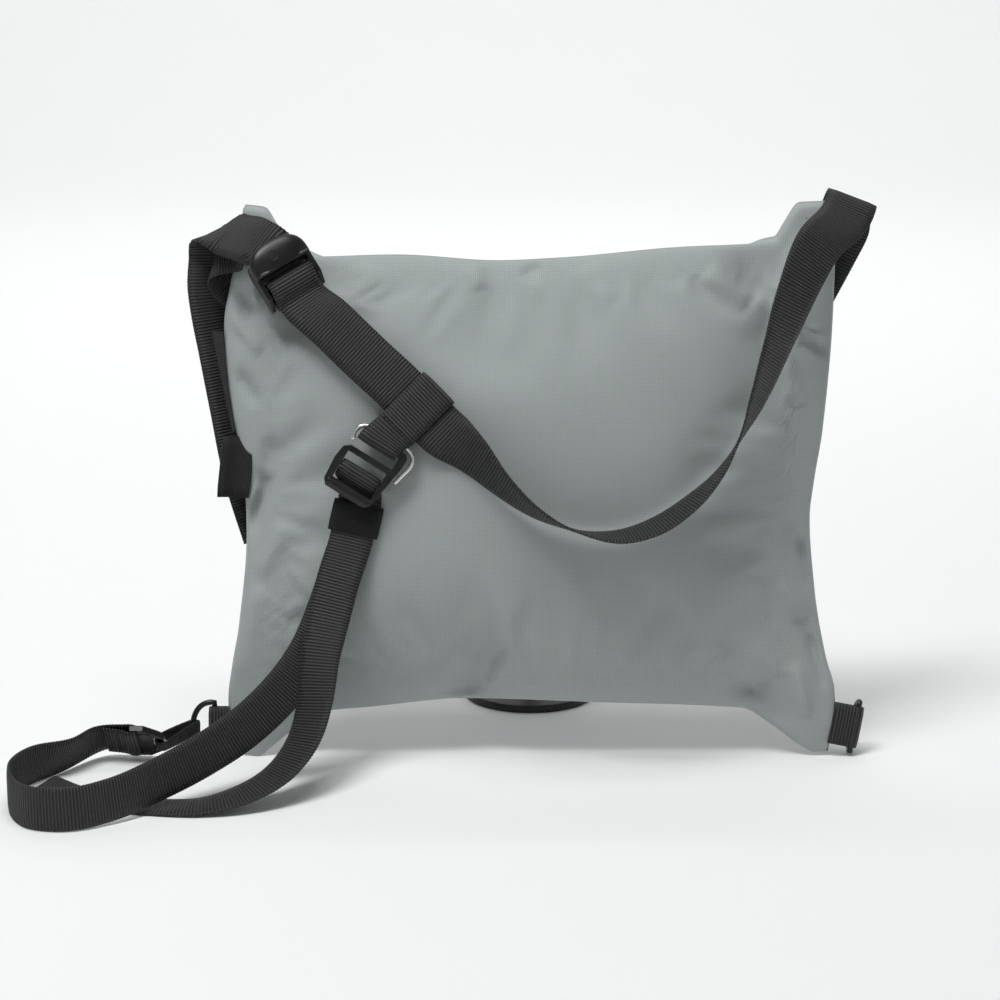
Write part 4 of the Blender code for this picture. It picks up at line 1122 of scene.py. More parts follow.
@dataclass
class Ribbon:
    """A flat strap of ribbed webbing along a path, with its own lengths as its UV map."""

    name: str
    width: float
    finish: bpy.types.Material
    thick: float = WEB
    closed: bool = False
    pitch: float = 1.85 * MM
    relief: float = 0.17 * MM
    samples: int = 4
    columns: int = 6
    places: list[Vector] = field(default_factory=list)
    sides: list[Vector] = field(default_factory=list)
    step: float = 0.0

    def follow(self, stations: Sequence[Station]) -> "Ribbon":
        """Lay the strap along a smooth curve through stations, eased where it is free.

        Args:
            stations: Places that the strap goes through.

        Returns:
            The strap.
        """
        places, sides, looseness = smooth_path(stations, 0.0015)
        loose = [Vector((value, 0.0, 0.0)) for value in looseness]
        loose = [value.x for value in resample(places, loose, self.pitch / self.samples, False,
                                               False)[1]]
        self.lay(places, sides)
        self.places = ease(self.places, loose, 0.0035 / self.step)
        self.sides = [side.normalized() for side in ease(self.sides, loose, 0.0080 / self.step)]
        return self

    def lay(self, places: list[Vector], sides: list[Vector]) -> "Ribbon":
        """Lay the strap along a path that is already smooth.

        Args:
            places: Points of the path.
            sides: The way the width lies at each.

        Returns:
            The strap.
        """
        step = self.pitch / self.samples
        self.places, self.sides, self.step = resample(places, sides, step, self.closed)
        return self

    def face(self, index: int) -> Vector:
        """Return the way the outer face looks at a sample.

        Args:
            index: Number of the sample.

        Returns:
            A direction of length 1.
        """
        count = len(self.places)
        before = self.places[index - 1] if self.closed or index else self.places[index]
        last = not self.closed and index + 1 >= count
        after = self.places[index] if last else self.places[(index + 1) % count]
        return self.sides[index].cross(after - before).normalized()

    def spot(self, along: float, across: float, face: float = 1.0,
             lift: float = 0.0001) -> Vector:
        """Return a point on the strap's surface.

        Args:
            along: Distance from the start, or from the end if negative.
            across: Distance from the middle line.
            face: 1 for the outer face and -1 for the inner one.
            lift: Height above the surface.

        Returns:
            The point.
        """
        number = round(along / self.step)
        index = number % len(self.places) if self.closed else (
            min(number, len(self.places) - 1) if along >= 0.0 else len(self.places) - 1 + number)
        return (self.places[index] + self.sides[index] * across
                + self.face(index) * face * (self.thick / 2 + lift))

    def row(self, along: float, inset: float = 0.003, face: float = 1.0) -> list[Vector]:
        """Return a line of stitches straight across the strap."""
        reach = self.width / 2 - inset
        return [self.spot(along, reach * (2 * k / 6 - 1), face) for k in range(7)]

    def box(self, start: float, end: float, inset: float = 0.003,
            face: float = 1.0) -> list[Vector]:
        """Return a crossed box of stitches.

        Args:
            start: Distance of one end.
            end: Distance of the other.
            inset: Distance from the edges.
            face: 1 for the outer face and -1 for the inner one.

        Returns:
            The stitched line.
        """
        reach = self.width / 2 - inset
        corners = [(start, -reach), (end, -reach), (end, reach), (start, reach), (start, -reach),
                   (end, reach), (start, reach), (end, -reach)]
        line = []
        for (a, b), (c, d) in zip(corners, corners[1:]):
            line += [self.spot(a + (c - a) * k / 8, b + (d - b) * k / 8, face) for k in range(8)]
        return line

    def build(self) -> bpy.types.Object:
        """Make the strap's mesh.

        Returns:
            The piece.
        """
        shape = bmesh.new()
        layer = shape.loops.layers.uv.new("lengths")
        mark = shape.verts.layers.float.new("along")
        lengths: dict[bmesh.types.BMVert, tuple[float, float]] = {}
        rings = []
        shares = [2.0 * column / self.columns - 1.0 for column in range(self.columns + 1)]
        for index, place in enumerate(self.places):
            face = self.face(index)
            along = index * self.step
            ring = []
            for top in (1.0, -1.0):
                for share in shares[::int(top)]:
                    half = self.thick / 2 * (1.0 - 0.5 * abs(share) ** 8)
                    across = share * self.width / 2
                    point = shape.verts.new(place + self.sides[index] * across + face * top * half)
                    point[mark] = along
                    lengths[point] = (along, across)
                    ring.append(point)
            rings.append(ring)
        count = len(rings)
        for index in range(count if self.closed else count - 1):
            ring, following = rings[index], rings[(index + 1) % count]
            wraps = self.closed and index + 1 == count
            for corner in range(len(ring)):
                beyond = (corner + 1) % len(ring)
                quad = shape.faces.new((ring[corner], ring[beyond], following[beyond],
                                        following[corner]))
                for loop, ahead in zip(quad.loops, (False, False, True, True)):
                    along, across = lengths[loop.vert]
                    loop[layer].uv = (count * self.step if wraps and ahead else along, across)
        if not self.closed:
            for ring in (rings[0][::-1], rings[-1]):
                cap = shape.faces.new(ring)
                for loop in cap.loops:
                    loop[layer].uv = lengths[loop.vert]
        bmesh.ops.recalc_face_normals(shape, faces=shape.faces)
        piece = add_piece(self.name, shape, self.finish)
        return grow(piece, rib_tree(), Pitch=self.step * self.samples, Rise=self.relief,
                    Finish=self.finish)


def loop_band(name: str, place: Matrix, axis: int, reach: float, gap: float, width: float,
              finish: bpy.types.Material, thick: float = WEB, pitch: float = 1.85 * MM,
              root: float = 0.0) -> Ribbon:
    """Lay a flat closed band whose cross-section runs along one axis of the frame.

    Args:
        name: Name of the piece.
        place: The frame.
        axis: 0 to run on x and 1 to run on y.
        reach: Half the straight length.
        gap: Half the distance between its layers.
        width: Width of the band.
        finish: Its material.
        thick: Its thickness.
        pitch: Distance between its ribs.
        root: Metres that one end reaches further, negative for the near end.

    Returns:
        The band.
    """
    turn = place.to_3x3()
    run = turn @ Vector((1 - axis, axis, 0.0))
    side = turn @ Vector((axis, 1 - axis, 0.0))
    near, far = reach + max(-root, 0.0), reach + max(root, 0.0)
    places = half_turn(place.translation + run * near, run, side, gap)
    places += half_turn(place.translation - run * far, -run, side, gap)
    ribbon = Ribbon(name, width, finish, thick, closed=True, pitch=pitch)
    return ribbon.lay(places, [side] * len(places))


def wire_mesh(name: str, points: Sequence[Vector], radius: float, finish: bpy.types.Material,
              closed: bool = False, sides: int = 16) -> bpy.types.Object:
    """Make a round wire through points, with its ends rounded off.

    Args:
        name: Name of the piece.
        points: Points of its middle line.
        radius: Its radius.
        finish: Its material.
        closed: Whether it comes back to its start.
        sides: Faces round it.

    Returns:
        The wire.
    """
    shape = bmesh.new()
    rings = []
    count = len(points)
    guide: Optional[Vector] = None
    for index, point in enumerate(points):
        before = points[index - 1] if closed or index else point
        after = points[(index + 1) % count] if closed or index + 1 < count else point
        run = (after - before).normalized()
        if guide is None:
            guide = run.orthogonal()
        guide = (guide - run * guide.dot(run)).normalized()
        beside = run.cross(guide)
        stops = [(0.0, 1.0)]
        if not closed and index == 0:
            stops = [(-0.5, 0.45), (-0.35, 0.8), (0.0, 1.0)]
        if not closed and index == count - 1:
            stops = [(0.0, 1.0), (0.35, 0.8), (0.5, 0.45)]
        for ahead, wide in stops:
            rings.append([shape.verts.new(point + run * ahead * radius + radius * wide
                                          * (math.cos(turn) * guide + math.sin(turn) * beside))
                          for turn in (2 * math.pi * side / sides for side in range(sides))])
    total = len(rings)
    for index in range(total if closed else total - 1):
        ring, following = rings[index], rings[(index + 1) % total]
        for side in range(sides):
            beyond = (side + 1) % sides
            shape.faces.new((ring[side], ring[beyond], following[beyond], following[side]))
    if not closed:
        shape.faces.new(rings[0][::-1])
        shape.faces.new(rings[-1])
    bmesh.ops.recalc_face_normals(shape, faces=shape.faces)
    return add_piece(name, shape, finish)


def turned(profile: Sequence[Row], sides: int, back: float = 0.0) -> bmesh.types.BMesh:
    """Turn a profile about an upright line, as on a lathe.

    Args:
        profile: Radius and height, from one end to the other.
        sides: Faces round the form.
        back: How far behind the origin the line stands.

    Returns:
        The form.
    """
    shape = bmesh.new()
    rings = []
    for radius, height in profile:
        if radius == 0.0:
            rings.append([shape.verts.new((0.0, back, height))])
            continue
        rings.append([shape.verts.new((radius * math.cos(turn), back + radius * math.sin(turn),
                                       height))
                      for turn in (2 * math.pi * k / sides for k in range(sides))])
    for low, high in zip(rings, rings[1:]):
        for k in range(sides):
            corners = (low[k % len(low)], low[(k + 1) % len(low)], high[(k + 1) % len(high)],
                       high[k % len(high)])
            shape.faces.new(dict.fromkeys(corners))
    bmesh.ops.recalc_face_normals(shape, faces=shape.faces)
    return shape


def prism(shape: bmesh.types.BMesh, place: Matrix, outline: Sequence[Row], low: float,
          high: float) -> None:
    """Add a flat plate of an outline in a frame's plane to a bmesh.

    Args:
        shape: The mesh that gets it.
        place: The frame.
        outline: Corners in its plane.
        low: Height of the lower face.
        high: Height of the upper face.
    """
    floor = [shape.verts.new(place @ Vector((x, y, low))) for x, y in outline]
    roof = [shape.verts.new(place @ Vector((x, y, high))) for x, y in outline]
    count = len(outline)
    faces = [shape.faces.new((floor[i], floor[(i + 1) % count], roof[(i + 1) % count], roof[i]))
             for i in range(count)]
    faces += [shape.faces.new(floor[::-1]), shape.faces.new(roof)]
    shape.normal_update()
    bmesh.ops.triangulate(shape, faces=faces[-2:])


def rod(shape: bmesh.types.BMesh, start: Vector, end: Vector, radius: float) -> None:
    """Add a round rod to a bmesh.

    Args:
        shape: The mesh that gets it.
        start: One end.
        end: The other end.
        radius: Its radius.
    """
    run = end - start
    turn = run.to_track_quat("Z", "Y").to_matrix().to_4x4()
    bmesh.ops.create_cone(shape, cap_ends=True, segments=32, radius1=radius, radius2=radius,
                          depth=run.length, matrix=Matrix.Translation((start + end) / 2) @ turn)


def block(name: str, place: Matrix, low: Row, high: Row) -> bpy.types.Object:
    """Make a box between two corners of a frame, as a cutter.

    Args:
        name: Name of the box.
        place: The frame.
        low: Its lowest corner.
        high: Its highest corner.

    Returns:
        The box.
    """
    shape = bmesh.new()
    size = [b - a for a, b in zip(low, high)]
    middle = Vector([(a + b) / 2 for a, b in zip(low, high)])
    bmesh.ops.create_cube(shape, size=1.0, matrix=place @ Matrix.Translation(middle)
                          @ Matrix.Diagonal((*size, 1.0)))
    bmesh.ops.recalc_face_normals(shape, faces=shape.faces)
    mesh = bpy.data.meshes.new(name)
    shape.to_mesh(mesh)
    shape.free()
    cutter = bpy.data.objects.new(name, mesh)
    bpy.context.scene.collection.objects.link(cutter)
    return cutter


def cut_out(piece: bpy.types.Object, cutters: Sequence[bpy.types.Object]) -> bmesh.types.BMesh:
    """Cut boxes out of a piece and remove them.

    Args:
        piece: Piece to cut.
        cutters: Boxes to cut out.

    Returns:
        The piece's mesh, open for more forms.
    """
    for cutter in cutters:
        cut = piece.modifiers.new("cut", "BOOLEAN")
        cut.operation = "DIFFERENCE"
        cut.solver = "EXACT"
        cut.object = cutter
    bake(piece)
    for cutter in cutters:
        bpy.data.objects.remove(cutter, do_unlink=True)
    shape = bmesh.new()
    shape.from_mesh(piece.data)
    return shape


def mould(piece: bpy.types.Object, grain: float, rounds: int,
          shape: Optional[bmesh.types.BMesh] = None) -> bpy.types.Object:
    """Fuse a piece's overlapping forms and round its edges, as a mould does.

    Args:
        piece: Mesh of closed forms that overlap.
        grain: Size of the mesh's cells in metres.
        rounds: How often the surface is smoothed.
        shape: Forms that take the place of the piece's mesh.

    Returns:
        The piece.
    """
    if shape is not None:
        shape.to_mesh(piece.data)
        shape.free()
    fuse = piece.modifiers.new("fuse", "REMESH")
    fuse.mode = "VOXEL"
    fuse.voxel_size = grain
    ease = piece.modifiers.new("ease", "SMOOTH")
    ease.factor = 0.5
    ease.iterations = rounds
    bake(piece)
    piece.data.shade_smooth()
    return piece


def stitch_tree() -> bpy.types.NodeTree:
    """Return the Geometry Nodes tree that sews a line: a thread float at every pitch.

    Returns:
        The tree.
    """
    tree = bpy.data.node_groups.new("stitched line", "GeometryNodeTree")
    face = tree.interface
    face.new_socket("Line", in_out="INPUT", socket_type="NodeSocketGeometry")
    for name, value in (("Pitch", 2.4 * MM), ("Float", 1.7 * MM), ("Thread", 0.28 * MM)):
        socket = face.new_socket(name, in_out="INPUT", socket_type="NodeSocketFloat")
        socket.default_value = value
    face.new_socket("Finish", in_out="INPUT", socket_type="NodeSocketMaterial")
    face.new_socket("Stitches", in_out="OUTPUT", socket_type="NodeSocketGeometry")
    given = add_node(tree, "NodeGroupInput").outputs
    curve = add_node(tree, "GeometryNodeMeshToCurve", None, {"Mesh": given["Line"]}).outputs[0]
    points = add_node(tree, "GeometryNodeCurveToPoints", {"mode": "LENGTH"},
                      {"Curve": curve, "Length": given["Pitch"]}).outputs
    ball = add_node(tree, "GeometryNodeMeshUVSphere", None,
                    {"Segments": 6, "Rings": 5, "Radius": 1.0}).outputs[0]
    half = maths(tree, "MULTIPLY", given["Float"], 0.5)
    sizes = add_node(tree, "ShaderNodeCombineXYZ", None,
                     {0: given["Thread"], 1: given["Thread"], 2: half}).outputs[0]
    thread = add_node(tree, "GeometryNodeTransform", None, {"Geometry": ball, "Scale": sizes})
    jitter = add_node(tree, "FunctionNodeRandomValue", {"data_type": "FLOAT_VECTOR"},
                      {0: (0.92, 0.92, 0.90), 1: (1.08, 1.08, 1.08), "Seed": 7}).outputs[0]
    sewn = add_node(tree, "GeometryNodeInstanceOnPoints", None,
                    {"Points": points["Points"], "Instance": thread.outputs[0],
                     "Rotation": points["Rotation"], "Scale": jitter}).outputs[0]
    real = add_node(tree, "GeometryNodeRealizeInstances", None, {"Geometry": sewn}).outputs[0]
    dressed = add_node(tree, "GeometryNodeSetMaterial", None,
                       {"Geometry": real, "Material": given["Finish"]}).outputs[0]
    add_node(tree, "NodeGroupOutput", None, {"Stitches": dressed})
    return tree


@dataclass
class Sewing:
    """Lines of stitches, each a row of thread floats from one tree."""

    finish: bpy.types.Material
    tree: bpy.types.NodeTree = field(default_factory=stitch_tree)

    def sew(self, name: str, lines: Sequence[Sequence[Vector]], pitch: float = 2.4 * MM,
            thread: float = 0.42 * MM, slot: Slot = Slot.WEBBING) -> bpy.types.Object:
        """Sew lines of stitches as one piece.

        Args:
            name: Name of the piece.
            lines: Points of each line, on the cloth's surface.
            pitch: Distance between stitches.
            thread: Half the thread's thickness.
            slot: The record's slot of what it is sewn to.

        Returns:
            The stitches.
        """
        mesh = bpy.data.meshes.new(name)
        points = [point for line in lines for point in line]
        edges, first = [], 0
        for line in lines:
            edges += [(first + k, first + k + 1) for k in range(len(line) - 1)]
            first += len(line)
        mesh.from_pydata(points, edges, [])
        piece = bpy.data.objects.new(name, mesh)
        bpy.context.scene.collection.objects.link(piece)
        grow(piece, self.tree, Pitch=pitch, Float=0.72 * pitch, Thread=thread, Finish=self.finish)
        piece.data.shade_smooth()
        return own(piece, slot)


@dataclass
class BagShell:
    """The bag: two cloth panels sewn at the sides and foot, open at the mouth."""

    cloth: bpy.types.Material
    lining: bpy.types.Material
    columns: int = 130
    rows: int = 100
    wall: float = 0.002
    mouth_from: float = 0.145
    swell: float = 3.5 * MM

    def grids(self) -> tuple[list[float], list[float]]:
        """Return the shares at which the panels have points."""
        return spread_shares(self.columns, 0.5), spread_shares(self.rows, 0.4)

    def skin(self) -> bpy.types.Object:
        """Make the outer cloth as one layer, with both panels joined at their seams.

        Returns:
            The cloth's outer face.
        """
        shares, heights = self.grids()
        shape = bmesh.new()
        layer = shape.loops.layers.uv.new("lengths")
        lengths: dict[bmesh.types.BMVert, tuple[float, float]] = {}
        depth: dict[bmesh.types.BMVert, float] = {}
        grids = {}
        for side in (1, -1):
            grids[side] = grid = []
            for row, t in enumerate(heights):
                line = []
                for column, s in enumerate(shares):
                    if side < 0 and (row == 0 or column in (0, self.columns)):
                        line.append(grids[1][row][column])
                        continue
                    point = FORM.point(s, t, side, creased=side > 0)
                    vert = shape.verts.new(FORM.leaned(point))
                    lengths[vert] = (point.x, point.z)
                    depth[vert] = abs(point.y)
                    line.append(vert)
                grid.append(line)
            for low, high in zip(grid, grid[1:]):
                for column in range(self.columns):
                    shape.faces.new((low[column], low[column + 1], high[column + 1], high[column]))
        front, back = grids[1][-1], grids[-1][-1]
        for column in range(self.columns):
            middle = (shares[column] + shares[column + 1]) / 2
            if min(middle, 1.0 - middle) < self.mouth_from:
                corners = (front[column], front[column + 1], back[column + 1], back[column])
                shape.faces.new(dict.fromkeys(corners))
        for face in shape.faces:
            for loop in face.loops:
                loop[layer].uv = lengths[loop.vert]
        bmesh.ops.recalc_face_normals(shape, faces=shape.faces)
        shape.verts.index_update()
        self.walls = {vert.index: min(1.0, 0.03 + depth[vert] / 0.007) for vert in depth}
        self.held = {vert.index for line in (grids[1][0], [r[0] for r in grids[1]],
                                             [r[-1] for r in grids[1]], front, back)
                     for vert in line}
        self.free = {}
        for side in (1, -1):
            for row, t in enumerate(heights):
                for column, s in enumerate(shares):
                    edge = min(s, 1.0 - s) * FORM.width
                    loose = blend(0.004, 0.045, edge) * blend(0.004, 0.05, t * FORM.height)
                    loose *= blend(0.0, 0.10, 1.0 - t)
                    self.free[grids[side][row][column].index] = loose
        return add_piece("bag_shell", shape, self.cloth)

    def rumple(self, piece: bpy.types.Object) -> None:
        """Let the cloth settle by simulation, with its seams and lips held, up to a cap.

        Args:
            piece: The cloth's outer face.
        """
        start = [vert.co.copy() for vert in piece.data.vertices]
        pins = piece.vertex_groups.new(name="held")
        for index in range(len(start)):
            loose = 0.0 if index in self.held else self.free[index]
            pins.add([index], 1.0 - 0.97 * loose, "REPLACE")
        cloth = piece.modifiers.new("cloth", "CLOTH")
        values = cloth.settings
        values.quality = 6
        values.mass = 0.25
        values.tension_stiffness = values.compression_stiffness = 12.0
        values.shear_stiffness = 4.0
        values.bending_stiffness = 1.2
        values.vertex_group_mass = "held"
        values.pin_stiffness = 0.6
        values.shrink_min = -0.030
        values.use_pressure = True
        values.uniform_pressure_force = 1.0
        values.effector_weights.gravity = 0.0
        cloth.collision_settings.use_collision = False
        cloth.collision_settings.use_self_collision = False
        cloth.point_cache.frame_start = 1
        cloth.point_cache.frame_end = 20
        scene = bpy.context.scene
        for number in range(1, 21):
            scene.frame_set(number)
        graph = bpy.context.evaluated_depsgraph_get()
        settled = piece.evaluated_get(graph).data
        moves = [settled.vertices[i].co - place for i, place in enumerate(start)]
        piece.modifiers.clear()
        scene.frame_set(1)
        piece.vertex_groups.clear()
        for index, vert in enumerate(piece.data.vertices):
            move = moves[index]
            cap = self.swell * self.free[index]
            length = move.length
            if length > 1e-9:
                move = move * (cap * math.tanh(length / max(cap, 1e-9)) / length)
            vert.co = start[index] + move
        LOG.info("cloth settled, largest move %.1f mm", max(move.length for move in moves) / MM)

    def build(self, sewing: Sewing) -> bpy.types.Object:
        """Make the cloth, its wall and the stitches on its ears.

        Args:
            sewing: What sews the ears.

        Returns:
            The bag.
        """
        piece = self.skin()
        self.rumple(piece)
        thin = piece.vertex_groups.new(name="thin")
        for index, weight in self.walls.items():
            thin.add([index], weight, "REPLACE")
        piece.data.materials.append(self.lining)
        wall = piece.modifiers.new("wall", "SOLIDIFY")
        wall.thickness = self.wall
        wall.offset = -1.0
        wall.vertex_group = "thin"
        wall.thickness_vertex_group = 0.02
        wall.material_offset = 1
        wall.material_offset_rim = 0
        bake(piece)
        piece.data.shade_smooth()
        own(piece, Slot.CLOTH, "bag_body")
        for name, start, end in (("left_ear_stitches", -0.955, -0.885),
                                 ("right_ear_stitches", 0.885, 0.965)):
            rows = [[FORM.beside(start + (end - start) * k / 8, up, 0.012) for k in range(9)]
                    for up in (0.962, 0.970)]
            sewing.sew(name, rows, 2.0 * MM, 0.22 * MM, Slot.CLOTH)
        return piece


@dataclass
class ShoulderStrap:
    """The shoulder strap, its ladder buckle and the adjuster that comes back through it."""

    web: bpy.types.Material
    acetal: bpy.types.Material
    sewing: Sewing
    half: float = 0.0188
    wall: float = 0.0030
    rise: float = 0.0058
    bar: float = 0.0021
    pin: float = 0.0013

    def main(self, buckle: Matrix, keeper: Matrix) -> None:
        """Make the strap from its stitched end on the buckle to its anchor at the back.

        Args:
            buckle: The buckle's frame.
            keeper: The keeper's frame.
        """
        turn = 0.5 * WEB + GAP + self.bar
        wrap = [(0.0110, -0.0029, 0.0, -1.0), (0.0, -turn, 0.0, -1.0)]
        wrap += round_bar(-0.0025, 0.0, turn, -90.0, -270.0, 6)
        wrap += [(0.0035, 0.0022, 0.25, 1.0), (0.0080, 0.0002, 0.15, 1.0)]
        stations = seated(buckle, wrap) + FORM.stations(MAIN_START)
        stations += straight_run(keeper, 1, 0.5 * SIDE_WEB + 0.002) + FORM.stations(MAIN_RUN)
        fold = FORM.beside(*MAIN_FOLD_AT)
        out, up = FORM.face(0.0, 1.0, 0.0), FORM.face(0.36, 0.0, 0.93)
        for index in range(5):
            angle = math.radians(10.0 + 40.0 * index)
            look = math.cos(angle) * out + math.sin(angle) * up
            stations.append(Station(fold + MAIN_FOLD_RADIUS * look, look))
        stations += FORM.stations(MAIN_ANCHOR)
        ribbon = Ribbon("shoulder_webbing", MAIN_WEB, self.web).follow(stations)
        own(ribbon.build(), Slot.WEBBING, "main_strap")
        lines = [ribbon.row(0.0345), ribbon.row(0.0365), ribbon.box(-0.022, -0.004)]
        self.sewing.sew("shoulder_stitches", lines)

    def adjuster(self, buckle: Matrix) -> None:
        """Make the strap from the upper left corner through the buckle to its free tail.

        Args:
            buckle: The buckle's frame.
        """
        turn = 0.5 * WEB + GAP + self.pin
        inward = [(-0.0270, -0.0064, 0.0, -1.0), (-0.0180, -0.0026 - turn, 0.0, -1.0)]
        wrap = round_bar(-0.0135, -0.0024, turn, -90.0, 90.0, 4)
        outward = [(-0.0190, -0.0026 + turn, 0.0, 1.0)]
        stations = [Station(place, -look) for place, look, _ in FORM.stations(ANCHOR_RUN)]
        stations += seated(buckle, inward + wrap + outward) + FORM.stations(OVER_RUN)
        stations += folded(FORM.seat(FOLD_AT, FOLD_TURN, FOLD_TILT), FOLD_RADIUS, FOLD_SKEW)[1:]
        stations += FORM.stations(TAIL_RUN)
        ribbon = Ribbon("adjuster_webbing", MAIN_WEB, self.web).follow(stations)
        own(ribbon.build(), Slot.WEBBING, "adjuster_strap")
        self.sewing.sew("adjuster_stitches",
                        [ribbon.box(0.004, 0.022, face=-1.0), ribbon.row(-0.006)])

    def buckle(self, place: Matrix) -> None:
        """Make the ladder buckle: a domed cap, two cheeks and two bars, moulded in one.

        Args:
            place: Its frame.
        """
        shape = bmesh.new()
        bmesh.ops.create_uvsphere(shape, u_segments=64, v_segments=32, radius=1.0)
        for point in shape.verts:
            x, y, z = (math.copysign(abs(value) ** 0.80, value) for value in point.co)
            height = self.rise * z if z > 0.0 else 0.0006 * z
            point.co = place @ Vector((-0.0120 + 0.0148 * x, self.half * y, 0.0016 + height))
        piece = add_piece("ladder_buckle", shape, self.acetal)
        shape = cut_out(piece, [block("window", place, (-0.0100, -0.0300, -0.0100),
                                      (0.0300, 0.0300, 0.0200))])
        inner = self.half - self.wall
        upright = place @ Matrix(((1, 0, 0, 0), (0, 0, -1, 0), (0, 1, 0, 0), (0, 0, 0, 1)))
        outline = [(-0.0185, 0.0), (-0.0160, 0.0022), (0.0030, 0.0020), (0.0100, -0.0030),
                   (0.0105, -0.0062), (0.0040, -0.0060), (-0.0130, -0.0060), (-0.0178, -0.0040)]
        for side in (-1, 1):
            low, high = sorted((-side * inner, -side * (self.half - 0.0002)))
            prism(shape, upright, outline, low, high)
        ends = Vector((0.0, inner + 0.001, 0.0))
        for down, out, radius in ((-0.0025, 0.0, self.bar), (-0.0135, -0.0024, self.pin)):
            middle = Vector((down, 0.0, out))
            rod(shape, place @ (middle - ends), place @ (middle + ends), radius)
        prism(shape, place, [(-0.0100, -inner), (-0.0068, -inner), (-0.0068, inner),
                             (-0.0100, inner)], -0.0050, -0.0030)
        lip = Vector((-0.0104, 0.0, 0.0060))
        rod(shape, place @ (lip - ends), place @ (lip + ends), 0.0011)
        mould(piece, 0.32 * MM, 5, shape)
        own(piece, Slot.MOULDED, "buckle")
        ring = []
        for index in range(28):
            angle = 2.0 * math.pi * index / 28
            x, y = -0.0178 + 0.0030 * math.cos(angle), -0.0040 + 0.0030 * math.sin(angle)
            ring.append(place @ Vector((x, y, self.cap_height(x, y) + 0.00010)))
        own(wire_mesh("mould_mark", ring, 0.00034, self.acetal, closed=True, sides=8), Slot.MOULDED)

    def cap_height(self, x: float, y: float) -> float:
        """Return how high the cap's skin is over a point of the buckle's plane.

        Args:
            x: Place down the strap.
            y: Place across it.

        Returns:
            The height.
        """
        a = abs((x + 0.0120) / 0.0148) ** 1.25
        b = abs(y / self.half) ** 1.25
        left = max(1.0 - a * a - b * b, 0.0) ** 0.5
        return 0.0016 + self.rise * left ** 0.80


@dataclass
class WireHook:
    """The hook with its wire gate, and the webbing keeper that hangs it on the shoulder strap."""

    web: bpy.types.Material
    acetal: bpy.types.Material
    wire: bpy.types.Material
    sewing: Sewing
    thick: float = 0.0046
    roll: float = 0.0031
    gate_wire: float = 0.0013
    pin: float = 0.0012

    def keeper(self, keeper: Matrix, hook: Matrix) -> None:
        """Make the webbing that is sewn round the main strap and holds the hook's bar.

        Args:
            keeper: Its frame.
            hook: The hook's frame.
        """
        start = keeper.translation
        end = hook @ Vector((-0.0203, 0.0, 0.0))
        near = 0.5 * MAIN_WEB
        over = WEB + GAP
        snug = 0.5 * self.thick + 2 * GAP + 0.5 * WEB
        across, bars, out = (keeper.to_3x3() @ Vector(row)
                             for row in ((1, 0, 0), (0, 1, 0), (0, 0, 1)))
        hook_bars = hook.to_3x3() @ Vector((0.0, -1.0, 0.0))
        shares = [(-near - GAP - 0.5 * WEB, 0.0), (-near - 0.0008, 0.8 * over), (-near, over),
                  (0.0, over), (near + 0.0025, over)]
        rows = [(start + across * along + out * height, -bars) for along, height in shares]
        rows += [(place, hook_bars) for place in half_turn(end, end - start, hook_bars, snug)]
        rows += [(start + across * along - out * height, -bars)
                 for along, height in shares[:0:-1]]
        ribbon = Ribbon("keeper_webbing", SIDE_WEB, self.web, closed=True)
        ribbon.lay([row[0] for row in rows], [row[1] for row in rows])
        own(ribbon.build(), Slot.WEBBING, "keeper_tab")
        self.sewing.sew("keeper_stitches", [ribbon.row(0.0345, 0.0025, 1.0),
                                            ribbon.row(0.0357, 0.0025, 1.0)])

    def hook(self, place: Matrix) -> None:
        """Make the moulded hook: a slotted frame with a round foot bar and an arm.

        Args:
            place: Its frame.
        """
        half = 0.5 * self.thick
        shape = bmesh.new()
        prism(shape, place, HOOK_OUTLINE, -half, half)
        slot = 0.5 * SIDE_WEB + GAP
        piece = add_piece("moulded_hook", shape, self.acetal)
        shape = cut_out(piece, [block("window", place, (-0.0070, -slot, -0.01),
                                      (0.0105, slot, 0.01))])
        for down, out, radius, reach in ((0.0138, 0.0, self.roll, 0.0145),
                                         (0.0010, -0.0008, self.pin, slot + 0.001)):
            rod(shape, place @ Vector((down, -reach, out)),
                place @ Vector((down, reach - 0.0015, out)), radius)
        mould(piece, 0.30 * MM, 7, shape)
        own(piece, Slot.MOULDED, "g_hook")

    def gate(self, place: Matrix) -> None:
        """Make the wire gate from the hook's side through the keeper's end.

        Args:
            place: The hook's frame.
        """
        face = place.to_3x3() @ Vector((0.0, 0.0, 1.0))
        stations = [Station(place @ Vector((down, along, 0.0)), face) for down, along in GATE_RUN]
        points, _, _ = smooth_path(stations, 0.0012)
        own(wire_mesh("steel_gate", points, self.gate_wire, self.wire), Slot.WIRE, "wire_gate")


